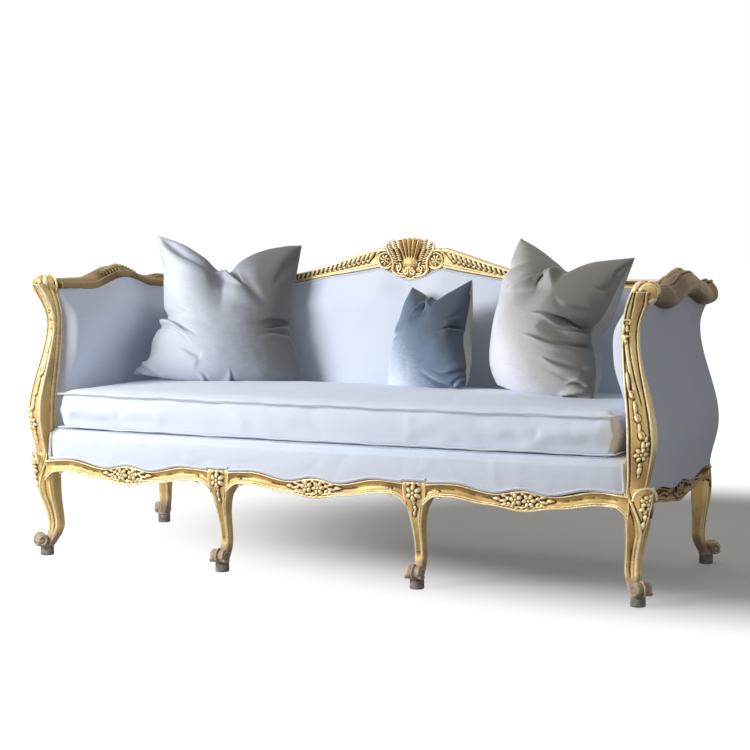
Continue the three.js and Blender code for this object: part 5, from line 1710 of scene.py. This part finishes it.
# Scatter cushions. Each has its four seams, drawn from the middle of its foot, and its thickness;
# chop, the depth of the dent in its head; the place of its foot and its lean, turn and roll in
# degrees; its velvet, the seed of its creases and its slot; the painted light on its pile (at rest,
# to the right, upwards and where it faces the light); and its folds, each a path from the fold's
# root, its half width and its depth.
PILLOWS = {
    "pillow_left": {
        "left": [(-0.278, 0.012), (-0.24, 0.075), (-0.234, 0.13), (-0.208, 0.185), (-0.193, 0.213),
                 (-0.207, 0.245), (-0.214, 0.3), (-0.224, 0.39), (-0.25, 0.487)],
        "right": [(0.26, 0.01), (0.256, 0.06), (0.244, 0.12), (0.222, 0.175), (0.21, 0.192),
                  (0.222, 0.215), (0.228, 0.32), (0.236, 0.4), (0.243, 0.471)],
        "top": [(-0.25, 0.487), (-0.16, 0.463), (-0.085, 0.425), (-0.004, 0.376), (0.045, 0.418),
                (0.13, 0.456), (0.243, 0.471)],
        "foot": [(-0.278, 0.012), (-0.12, -0.004), (0.13, -0.004), (0.26, 0.01)],
        "thick": 0.19, "chop": 0.4, "at": (-0.544, 0.06), "lean": 18, "turn": 20, "roll": 2,
        "velvet": "silver", "seed": 4, "slot": "silver_velvet", "nap": (0.5, -0.62, -0.22, 0.55),
        "folds": [
            ([(-0.205, 0.186), (-0.138, 0.162), (-0.112, 0.143), (-0.075, 0.108)], 0.01, 0.009),
            ([(-0.2, 0.212), (-0.147, 0.18), (-0.101, 0.153), (-0.05, 0.124)], 0.013, -0.007),
            ([(-0.175, 0.244), (-0.127, 0.221), (-0.085, 0.2)], 0.016, -0.004),
            ([(-0.262, 0.034), (-0.205, 0.008), (-0.16, -0.016)], 0.007, 0.01),
            ([(-0.24, 0.05), (-0.186, 0.02), (-0.135, -0.004)], 0.008, 0.008),
            ([(0.218, 0.19), (0.192, 0.184), (0.155, 0.17), (0.135, 0.166)], 0.01, 0.014),
            ([(0.225, 0.207), (0.165, 0.204), (0.125, 0.186)], 0.012, -0.007),
            ([(0.232, 0.158), (0.172, 0.156), (0.118, 0.138)], 0.016, 0.006),
            ([(0.262, 0.03), (0.236, 0.014), (0.205, -0.008)], 0.009, 0.012),
            ([(-0.235, 0.472), (-0.155, 0.405), (-0.071, 0.362), (0.0, 0.332)], 0.03, -0.011),
            ([(-0.01, 0.372), (0.018, 0.35), (0.05, 0.318), (0.085, 0.3)], 0.012, -0.022),
            ([(0.048, 0.322), (0.1, 0.27), (0.15, 0.235)], 0.034, -0.007),
            ([(0.24, 0.462), (0.18, 0.38), (0.145, 0.29)], 0.034, -0.008),
            ([(-0.06, 0.066), (-0.1, 0.088), (-0.145, 0.104)], 0.015, 0.004),
            ([(0.03, -0.004), (0.045, 0.02), (0.04, 0.046)], 0.01, 0.005),
            ([(-0.04, -0.004), (-0.04, 0.014), (-0.06, 0.03)], 0.01, 0.004),
        ],
    },
    "pillow_small": {
        "left": [(-0.164, 0.012), (-0.15, 0.09), (-0.138, 0.182), (-0.125, 0.26), (-0.104, 0.331)],
        "right": [(0.16, 0.004), (0.163, 0.07), (0.154, 0.14), (0.15, 0.178), (0.155, 0.23),
                  (0.156, 0.334)],
        "top": [(-0.104, 0.331), (-0.05, 0.312), (0.004, 0.288), (0.07, 0.305), (0.156, 0.334)],
        "foot": [(-0.164, 0.012), (-0.05, -0.004), (0.05, -0.004), (0.16, 0.004)],
        "thick": 0.14, "chop": 0.3, "at": (0.133, 0.108), "lean": 13, "turn": -21, "roll": -6,
        "velvet": "blue", "seed": 8, "slot": "blue_velvet", "nap": (0.32, -0.32, -0.7, 0.5),
        "folds": [
            ([(0.02, 0.268), (-0.008, 0.25), (-0.052, 0.222)], 0.013, 0.02),
            ([(0.155, 0.17), (0.13, 0.176), (0.088, 0.166)], 0.009, 0.009),
            ([(0.152, 0.232), (0.12, 0.205), (0.09, 0.2)], 0.012, 0.004),
            ([(0.155, 0.06), (0.11, 0.045), (0.06, 0.06)], 0.01, -0.006),
            ([(0.15, 0.006), (0.08, 0.024), (0.02, 0.06)], 0.02, -0.008),
            ([(0.155, 0.03), (0.13, 0.018), (0.105, -0.002)], 0.008, 0.008),
            ([(-0.135, 0.19), (-0.09, 0.17), (-0.05, 0.18)], 0.016, 0.003),
        ],
    },
    "pillow_right": {
        "left": [(-0.196, 0.012), (-0.222, 0.06), (-0.228, 0.18), (-0.228, 0.3), (-0.236, 0.38),
                 (-0.238, 0.459)],
        "right": [(0.19, 0.008), (0.186, 0.08), (0.172, 0.13), (0.15, 0.178), (0.142, 0.205),
                  (0.172, 0.25), (0.2, 0.32), (0.218, 0.37), (0.247, 0.428)],
        "top": [(-0.238, 0.459), (-0.16, 0.44), (-0.08, 0.413), (-0.003, 0.384), (0.1, 0.41),
                (0.247, 0.428)],
        "foot": [(-0.196, 0.012), (-0.08, -0.004), (0.08, -0.004), (0.19, 0.008)],
        "thick": 0.25, "chop": 0.25, "at": (0.521, 0.046), "lean": 13, "turn": -25, "roll": 3,
        "velvet": "greige", "seed": 15, "slot": "silver_velvet", "nap": (0.44, -0.42, -0.62, 0.55),
        "folds": [
            ([(0.03, 0.352), (-0.02, 0.338), (-0.06, 0.318), (-0.105, 0.302), (-0.15, 0.29)], 0.018, 0.036),
            ([(0.16, 0.186), (0.13, 0.2), (0.09, 0.218), (0.045, 0.229), (0.0, 0.229)], 0.011, 0.026),
            ([(0.16, 0.176), (0.115, 0.19), (0.075, 0.198)], 0.008, 0.012),
            ([(0.16, 0.152), (0.08, 0.152), (0.025, 0.163), (-0.026, 0.168)], 0.009, 0.017),
            ([(0.16, 0.094), (0.095, 0.1), (0.045, 0.118)], 0.012, 0.007),
            ([(0.165, 0.062), (0.11, 0.072), (0.06, 0.085)], 0.012, -0.005),
            ([(0.18, 0.034), (0.13, 0.022), (0.08, 0.006)], 0.009, -0.012),
            ([(0.186, 0.054), (0.16, 0.058), (0.12, 0.042)], 0.009, -0.008),
            ([(0.205, 0.345), (0.18, 0.322), (0.15, 0.33)], 0.011, 0.008),
            ([(0.235, 0.405), (0.205, 0.372), (0.198, 0.335)], 0.01, 0.01),
            ([(0.15, 0.262), (0.1, 0.262), (0.06, 0.29)], 0.02, -0.005),
            ([(-0.215, 0.33), (-0.16, 0.35), (-0.1, 0.38)], 0.028, -0.007),
        ],
    },
}


def pillow_pose(place):
    lean, turn, roll = (math.radians(place[key]) for key in ("lean", "turn", "roll"))
    foot = Vector((*place["at"], SEAT_TOP - 0.009 + 0.006))
    pose = Matrix.Translation(foot) @ Matrix.Rotation(turn, 4, "Z")
    pose = pose @ Matrix.Rotation(-lean, 4, "X") @ Matrix.Rotation(roll, 4, "Y")
    return np.array(pose)


def pillow_panel(place, count):
    """The middle surface between a scatter cushion's seams, a across it and b up it, -1 to 1."""
    left, right, top, foot = (along(place[side], count) for side in ("left", "right", "top", "foot"))
    s, t = np.linspace(0, 1, count)[:, None, None], np.linspace(0, 1, count)[None, :, None]
    ruled = mix(foot[:, None], top[:, None], t) + mix(left[None], right[None], s)
    flat = ruled - mix(mix(foot[0], foot[-1], s), mix(top[0], top[-1], s), t)
    return flat, 2 * s[..., 0] - 1, 2 * t[..., 0] - 1


def scatter_cushion(name, place):
    """A stuffed velvet cushion, blown up as cloth, creased and set against the back."""
    count = 84
    flat, a, b = pillow_panel(place, count)
    swell = np.clip((1 - a**2) * (1 - b**2), 0, 1) ** 0.52 * (1 - 0.1 * b)
    swell = swell * (1 - place["chop"] * bell(a, 0.0, 0.3) * smooth(b, 0.1, 1.0)) * place["thick"] / 2
    inner = flat.mean((0, 1)) + (flat - flat.mean((0, 1))) * 0.992
    panels = [xyz(inner[..., 0], side * swell, inner[..., 1]) for side in (-1, 1)]
    mesh = subdivided(blown(slab_mesh("pillow", *panels), sizes().pillow_puff, 4.0, 18), name)
    points = points_of(mesh)
    in_front = points[:, 1] < 0
    points = folded(points, normals_of(mesh), place)
    set_points(mesh, points)
    # Painted light on the pile: a base level that changes across, upwards and with how far the surface
    # faces the light.
    base, across, up, facing = place["nap"]
    normals = normals_of(mesh)
    lit = normals @ np.array([-0.75, -0.45, -0.35])
    share_up = points[:, 2] / 0.45 - 0.5
    nap = base + across * points[:, 0] / 0.25 + up * share_up + facing * (lit - 0.45)
    keep(mesh, "nap", np.clip(nap, 0, 1))
    pose = pillow_pose(place)
    points = points @ pose[:3, :3].T + pose[:3, 3]
    points[:, 2] = np.maximum(points[:, 2], cushion_top(points[:, 0], points[:, 1]) + 0.0012)
    wall = np.where(points[:, 2] < 0.8, inner_y(points[:, 2]) + 0.004, 9.0)
    points[:, 1] = np.minimum(points[:, 1], wall)
    set_points(mesh, points)
    velvet_and_back = [finishes()[key] for key in (place["velvet"], "backing")]
    piece = dress(name + "_cover", mesh, velvet_and_back, [name], name)
    in_velvet = np.array([in_front[list(face.vertices)].all() for face in mesh.polygons])
    backing = 1 if name != "pillow_left" else 0
    mesh.polygons.foreach_set("material_index", np.where(in_velvet, 0, backing).astype(np.int32))
    mesh.update()


def folded(points, normals, place):
    """Lays a cushion's folds on its front, each a sharp step with a soft ridge, and small creases."""
    fold = np.zeros(len(points))
    flat = points[:, [0, 2]]
    for path, half, depth in place["folds"]:
        line = along(path, 40)
        way = np.gradient(line, axis=0)
        way = way / np.linalg.norm(way, axis=1)[:, None]
        apart = np.linalg.norm(flat[:, None] - line[None], axis=2)
        near = apart.argmin(1)
        off = flat - line[near]
        across = off[:, 1] * way[near, 0] - off[:, 0] * way[near, 1]
        run = near / 39.0
        ends = bell(np.einsum("ij,ij->i", off, way[near]), 0, 0.6 * half)
        reach = half * mix(1.5, 0.45, run)
        edge = across / reach * np.sign(depth)
        # A tongue of cloth stands over a sharp hollow beside it.
        tongue = bell(edge, 0.55, 0.75) * smooth(edge, -0.35, 0.3)
        hollow = bell(edge, -0.42, 0.45) * (1 - smooth(edge, -0.2, 0.25))
        window = (1 - smooth(run, 0.35, 1.0)) * ends
        fold += abs(depth) * (tongue - 0.9 * hollow) * window
    x, y, z = points.T
    small = creases(x, z, place["seed"], 60, 0.05, 0.014) * 0.0006
    small += creases(x, z, place["seed"] + 1, 30, 0.1, 0.04) * 0.0012
    thin = np.clip(np.abs(y) / (0.1 * place["thick"]), 0, 1)
    moved = fold * sizes().fold * (y < 0) + small
    return points + normals * (moved * thin)[:, None]


def cushion_top(x, y):
    """Height of the seat cushion's top."""
    return CUSHION["foot"] + 0.1135 + cushion_crown(x, y)


# Operators


class SOFA_OT_stage(bpy.types.Operator):
    """Lay the floor, hang the lamps and set the camera"""

    bl_idname = "sofa.stage"
    bl_label = "Stage"

    def execute(self, context):
        scene = context.scene
        scene.view_settings.view_transform = "Standard"
        camera = bpy.data.objects.new("camera", bpy.data.cameras.new("camera"))
        camera.data.lens, camera.data.sensor_width = 85.96, 36
        camera.data.clip_end = 60
        camera.location = (2.1966, -4.7616, 0.95)
        camera.rotation_euler = (math.pi / 2 - 0.0769, 0, 0.4295)
        scene.collection.objects.link(camera)
        scene.camera = camera
        self.lamps(scene)
        self.floor()
        self.sky(scene)
        return {"FINISHED"}

    def lamps(self, scene):
        for name, place, aim, size, power in (
            ("key", (-2.1, -2.7, 1.9), (0.1, 0, 0.4), 1.8, 138),
            ("fill", (4.2, -2.2, 2.4), (0.6, 0, 0.4), 2.6, 20),
            ("sky", (0.0, 0.9, 3.0), (0, 0, 0.3), 2.2, 16),
        ):
            lamp = bpy.data.lights.new(name, "AREA")
            lamp.shape, lamp.size, lamp.energy = "SQUARE", size, power
            obj = bpy.data.objects.new(name, lamp)
            obj.location = place
            obj.rotation_euler = (Vector(aim) - Vector(place)).to_track_quat("-Z", "Y").to_euler()
            scene.collection.objects.link(obj)

    def floor(self):
        """A pale floor that shows white to the lens away from the sofa."""
        turn = circle(96)
        reach = np.array([0, 1, 2, 3, 5, 9, 30])[:, None]
        rings = xyz(reach * np.cos(turn), reach * np.sin(turn), 0)
        mesh = Form().skin(rings, capped=False).mesh("floor")
        outward(mesh)
        floor = linked("floor", mesh)
        paint = Paint("floor")
        x, y, _ = paint.split(paint.place())
        across, deep = (x - 1.1) / 2.4, (y - 0.75) / 1.5
        away = (across * across + deep * deep) ** 0.5
        open_floor = away.clear(0.52, 0.95)
        stone = paint.noise(2.2, 4)
        tint = colours().floor
        near = paint.between(tint, [0.88 * v for v in tint], stone)
        seen = seen_by_lens(paint)
        paint.shader.inputs["Specular IOR Level"].default_value = 0.2
        paint.shader.inputs["Emission Strength"].default_value = 1.0
        glow = paint.between((0.13, 0.127, 0.12), (1, 1, 1), open_floor)
        mesh.materials.append(
            paint.finish(
                Base_Color=paint.between(near, (0, 0, 0), seen * open_floor),
                Roughness=0.85,
                Emission_Color=paint.between((0, 0, 0), glow, seen),
            )
        )

    def sky(self, scene):
        world = bpy.data.worlds.new("studio")
        world.use_nodes = True
        scene.world = world
        paint = Paint.__new__(Paint)
        paint.tree = world.node_tree
        background = world.node_tree.nodes["Background"]
        paint.set(background.inputs["Strength"], 0.09 + seen_by_lens(paint) * 0.91)
        background.inputs["Color"].default_value = (1, 1, 1, 1)


def seen_by_lens(paint):
    outs = paint.node("LightPath").socket.node.outputs
    total = Wire(paint, outs["Is Camera Ray"]) + Wire(paint, outs["Is Glossy Ray"])
    total = total + Wire(paint, outs["Is Transmission Ray"])
    return total.math("MINIMUM", total, 1.0)


class SOFA_OT_feet(bpy.types.Operator):
    """Turn the six pads under the legs"""

    bl_idname = "sofa.feet"
    bl_label = "Foot pads"

    def execute(self, context):
        material = finishes()["foot_pad"]
        places = {"front": FRONT_FOOT, "middle": MIDDLE_FOOT, "rear": REAR_FOOT}
        pad = foot_pad()
        for row, (x, y) in places.items():
            for side, sign in PAIR:
                own = pad.copy()
                set_points(own, points_of(own) + (sign * x, y, 0))
                dress(f"pad_{row}_{side}", own, material, [f"foot_{row}_{side}"])
        return {"FINISHED"}


class SOFA_OT_legs(bpy.types.Operator):
    """Carve the six cabriole legs"""

    bl_idname = "sofa.legs"
    bl_label = "Legs"

    def execute(self, context):
        grain, material = sizes().wood_grain, finishes()["gilt"]
        front = corner_leg(FRONT_FOOT, 0.035, 0.03, CORNER_LEG, LEG_TOP, -math.pi / 4)
        rear = corner_leg(REAR_FOOT, 0.028, 0.027, REAR_LEG, LOW_LEG_TOP, math.pi / 4, False)
        for name, form in (("front", front), ("rear", rear), ("middle", middle_leg())):
            mesh = carved(form, grain)
            fade_toes(mesh)
            dress_pair(f"carved_leg_{name}", mesh, material, [f"leg_{name}"])
        return {"FINISHED"}


def fade_toes(mesh):
    points = points_of(mesh)
    keep(mesh, "toe", 1 - smooth(points[:, 2], 0.06, 0.085))


class SOFA_OT_rails(bpy.types.Operator):
    """Carve the seat rails"""

    bl_idname = "sofa.rails"
    bl_label = "Seat rails"

    def execute(self, context):
        grain, material = sizes().wood_grain, finishes()["gilt"]
        centre = carved(front_rail(*CENTRE_RAIL), grain)
        dress("carved_front_rail_centre", centre, material, ["front_rail_centre"])
        outer = carved(front_rail(*OUTER_RAIL), grain)
        dress_pair("carved_front_rail", outer, material, ["front_rail"])
        side = carved(side_rail(*SIDE_RAIL), grain)
        # The side and rear rails take the darker gilt copy as painted shade.
        dress_pair("carved_side_rail", side, finishes()["dull_gilt"], ["side_rail"])
        rear = carved(rear_rail(REAR_RAIL_HALF), 2.4 * grain)
        dress("plain_rear_rail", rear, finishes()["dull_gilt"], ["rear_rail"])
        return {"FINISHED"}


class SOFA_OT_arms(bpy.types.Operator):
    """Carve the arm posts and the arm rails"""

    bl_idname = "sofa.arms"
    bl_label = "Arms"

    def execute(self, context):
        grain, material = sizes().wood_grain, finishes()["gilt"]
        dress_pair("carved_post", carved(arm_post(), grain), material, ["arm_post"])
        rail = carved(arm_rail(), grain)
        # The arm rails take the darker gilt copy as painted shade.
        dress_pair("carved_arm_rail", rail, finishes()["dull_gilt"], ["arm_rail"])
        return {"FINISHED"}


class SOFA_OT_crest(bpy.types.Operator):
    """Carve the crest rails and the shell between them"""

    bl_idname = "sofa.crest"
    bl_label = "Crest"

    def execute(self, context):
        material = finishes()["gilt"]
        rail = carved(crest_rail(), sizes().wood_grain)
        dress_pair("carved_crest", rail, material, ["crest_rail"])
        shell = carved(crest_shell(), sizes().shell_grain, 1)
        dress("carved_shell", shell, material, ["crest_shell"])
        return {"FINISHED"}


class SOFA_OT_hidden_frame(bpy.types.Operator):
    """Finish the beech frame and lay the webbing and cloths in the seat"""

    bl_idname = "sofa.hidden_frame"
    bl_label = "Hidden frame"

    def execute(self, context):
        materials = finishes()
        bare = ("back_post", "arm_stay", "back_stay", "back_stile", "seat_brace", "corner_brace")
        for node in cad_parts:
            name = node if isinstance(node, str) else node["node"]
            obj = bpy.data.objects.get(name)
            if obj and name.startswith(bare):
                obj.material_slots[0].material = materials["beech"]
        self.webbing(materials["jute"])
        self.cloth("hessian", "seat_hessian", "jute", 0.332, SEAT_ROOM, (0.062, 0.052), 0.0)
        under = (0.8795, -0.3027, 0.2967)
        self.cloth("dust_sheet", "dust_cover", "cambric", 0.2632, under, (0.034, 0.034), 0.005)
        return {"FINISHED"}

    def cloth(self, name, node, slot, z, room, notch, sag):
        """A cloth tacked flat to the rails, notched clear of the posts."""
        half, front, rear = room
        nx, ny = 90, 40
        xs = np.unique(np.concatenate([np.linspace(-half, half, nx), [-half + notch[0], half - notch[0]]]))
        ys = np.unique(np.concatenate([np.linspace(front, rear, ny), [front + notch[1], rear - notch[1]]]))
        grid_x, grid_y = np.meshgrid(xs, ys, indexing="ij")
        drop = sag * np.cos(grid_x / half * math.pi / 2)
        drop = drop * np.cos((grid_y - (front + rear) / 2) / (rear - front) * math.pi)
        points = xyz(grid_x, grid_y, z - drop).reshape(-1, 3)
        faces = []
        for i in range(len(xs) - 1):
            for j in range(len(ys) - 1):
                mid_x, mid_y = (xs[i] + xs[i + 1]) / 2, (ys[j] + ys[j + 1]) / 2
                if abs(mid_x) < half - notch[0] or front + notch[1] < mid_y < rear - notch[1]:
                    a = i * len(ys) + j
                    faces.append((a, a + len(ys), a + len(ys) + 1, a + 1))
        mesh = bpy.data.meshes.new(name)
        mesh.from_pydata(points.tolist(), [], faces)
        mesh.validate()
        work = linked(name, mesh)
        thick = work.modifiers.new("thick", "SOLIDIFY")
        thick.thickness = 0.0008
        made = baked(work)
        made.shade_smooth()
        piece = dress(name, made, finishes()[slot], [node])

    def webbing(self, material):
        """Straps of webbing, each over one and under the next."""
        form = Form()
        half_x, front, rear = SEAT_ROOM
        in_x, in_front, in_rear = half_x - 0.062, front + 0.052, rear - 0.052
        cross = np.linspace(-in_x, in_x, 9)
        long = np.linspace(in_front, in_rear, 4)
        strap = 0.027
        for i, x in enumerate(cross):
            y = np.linspace(front, rear, 160)
            over = np.cos((y - in_front) / (long[1] - long[0]) * math.pi + math.pi * i)
            self.strap(form, xyz(x, y, 0.3268 + 0.0007 * over), (1, 0, 0), strap)
        for j, y in enumerate(long):
            x = np.linspace(-half_x, half_x, 320)
            over = -np.cos((x + in_x) / (cross[1] - cross[0]) * math.pi + math.pi * j)
            self.strap(form, xyz(x, y, 0.3268 + 0.0007 * over), (0, 1, 0), strap)
        mesh = form.mesh("webbing")
        outward(mesh)
        dress("webbing", mesh, material, ["seat_webbing"])

    def strap(self, form, line, side, half):
        side = np.asarray(side, float)
        thick = np.array([0, 0, 0.0005])
        side = side * half
        corners = [side + thick, -side + thick, -side - thick, side - thick]
        form.skin(np.stack([line + corner for corner in corners], 1))


class SOFA_OT_walls(bpy.types.Operator):
    """Upholster the arms and the back, inside and outside"""

    bl_idname = "sofa.walls"
    bl_label = "Arms and back"

    def execute(self, context):
        materials = finishes()
        linen = materials["linen"]
        for piece in dress_pair("stuffed_arm", arm_pad(), linen, ["arm_pad"]):
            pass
        dress("stuffed_back", back_pad(), linen, ["back_pad"])
        for piece in dress_pair("outside_arm", arm_cover(), linen, ["arm_cover"]):
            rail = "side_rail_" + piece.name.split("_")[-1]
        cover = dress("outside_back", back_cover(), linen, ["back_cover"])
        self.trims(materials["welt"])
        return {"FINISHED"}

    def trims(self, material):
        form = Form()
        # Under the crest, inside and outside.
        x = np.linspace(-0.862, 0.862, 260)
        dip = DIP * smooth(np.abs(x), 0.115, 0.0)
        z = WALL_HEAD + crest_lift(x) - dip
        braid(form, xyz(x, 0.2972, z - 0.0035), (0, -1, 0.15), 0.0075)
        trim("crest_gimp", closed(form, "crest_gimp"), material)
        form = Form()
        # Along the side rail and up the post on the outside of the right arm.
        y = np.linspace(POST_BACK + 0.004, 0.3, 120)
        top, _ = rail_edges(np.clip(y, -0.2935, 0.3065), *SIDE_BAY)
        piping(form, xyz(outer_x(0.3) + 0.0012, y, top + 0.0052), (1, 0, 0), 0.0022)
        rise = np.linspace(0.3, 0.79, 120)
        piping(form, xyz(outer_x(rise) + 0.0004, -0.315, rise), (1, 0, 0), 0.0018)
        rise = np.linspace(0.345, 0.77, 120)
        inner = xyz(post_inner_x(rise) + 0.0015, -0.3045, rise)
        piping(form, inner, (-1, 0, 0), 0.0022)
        mesh = closed(form, "arm_welts")
        for side, sign in PAIR:
            trim(f"arm_welts_{side}", mesh if sign > 0 else mirrored(mesh), material)


class SOFA_OT_seat_deck(bpy.types.Operator):
    """Stuff the seat under the cushion and trim its lower edge"""

    bl_idname = "sofa.seat_deck"
    bl_label = "Seat"

    def execute(self, context):
        materials = finishes()
        piece = dress("stuffed_seat", seat_deck(), materials["linen"], ["seat_deck"])
        form = Form()
        middle, near, far = MIDDLE_BAY[1], OUTER_BAY[0], 0.88
        for start, end in ((-far, -near), (-middle, middle), (near, far)):
            x = np.linspace(start, end, 140)
            inner = start == -end
            top, _ = rail_edges(x, *MIDDLE_BAY) if inner else rail_edges(np.abs(x), *OUTER_BAY)
            braid(form, xyz(x, front_face(x) - 0.0035, top + 0.0062), (0, -1, 0.1))
        for sign in (-1, 1):
            x = sign * np.linspace(middle, near, 30)
            braid(form, xyz(x, front_face(x) - 0.0045, 0.3005), (0, -1, 0.1))
            rise = np.linspace(0.296, 0.372, 40)
            x = sign * mix(0.882, 0.8775, smooth(rise, 0.3, 0.37))
            y = front_face(0.868) - 0.004 + 0.004 * smooth(rise, 0.35, 0.38)
            braid(form, xyz(x, y, rise), (0, -1, 0))
        trim("seat_gimp", closed(form, "seat_gimp"), materials["welt"])
        return {"FINISHED"}


class SOFA_OT_seat_cushion(bpy.types.Operator):
    """Fill the loose seat cushion and sew its welts"""

    bl_idname = "sofa.seat_cushion"
    bl_label = "Seat cushion"

    def execute(self, context):
        materials = finishes()
        name, linen = "seat_cushion", materials["linen"]
        piece = dress(name + "_cover", seat_cushion(), linen, [name], name)
        form = Form()
        t = spaced((0, 0.25, 0.5, 0.75, 1), (120, 420, 120, 200))
        for rise in (0.0085, 0.107):
            line = cushion_edge(np.clip(t, 0, 0.99999), CUSHION["foot"] + rise, 0.0005)
            line[:, 2] += 0.0012 * np.sin(line[:, 0] * 23) + 0.0008 * np.sin(line[:, 0] * 61)
            form.tube(line, sizes().welt)
        trim("cushion_welts", closed(form, "cushion_welts"), materials["welt"], name)
        return {"FINISHED"}


class SOFA_OT_scatter_cushions(bpy.types.Operator):
    """Stuff the three velvet cushions, fold their covers and set them against the back"""

    bl_idname = "sofa.scatter_cushions"
    bl_label = "Scatter cushions"

    def execute(self, context):
        for name, place in PILLOWS.items():
            scatter_cushion(name, place)
        return {"FINISHED"}


class SOFA_PT_panel(bpy.types.Panel):
    """The sofa's sizes, colours and pieces"""

    bl_idname = "SOFA_PT_panel"
    bl_label = "Cabriole sofa"
    bl_space_type = "VIEW_3D"
    bl_region_type = "UI"
    bl_category = "Sofa"

    def draw(self, context):
        for group in (context.scene.sofa_sizes, context.scene.sofa_colours):
            box = self.layout.box()
            for key in group.bl_rna.properties.keys():
                if key not in ("rna_type", "name"):
                    box.prop(group, key)
        for operator in OPERATORS:
            self.layout.operator(operator.bl_idname)


GROUPS = (SofaSizes, SofaColours)
OPERATORS = (
    SOFA_OT_stage,
    SOFA_OT_feet,
    SOFA_OT_legs,
    SOFA_OT_rails,
    SOFA_OT_arms,
    SOFA_OT_crest,
    SOFA_OT_hidden_frame,
    SOFA_OT_walls,
    SOFA_OT_seat_deck,
    SOFA_OT_seat_cushion,
    SOFA_OT_scatter_cushions,
)


def register():
    for made in (*GROUPS, *OPERATORS, SOFA_PT_panel):
        bpy.utils.register_class(made)
    bpy.types.Scene.sofa_sizes = bpy.props.PointerProperty(type=SofaSizes)
    bpy.types.Scene.sofa_colours = bpy.props.PointerProperty(type=SofaColours)


def unregister():
    del bpy.types.Scene.sofa_colours
    del bpy.types.Scene.sofa_sizes
    for made in (SOFA_PT_panel, *reversed(OPERATORS), *reversed(GROUPS)):
        bpy.utils.unregister_class(made)


def main():
    register()
    for operator in OPERATORS:
        group, name = operator.bl_idname.split(".")
        getattr(getattr(bpy.ops, group), name)()


if __name__ == "__main__":
    main()
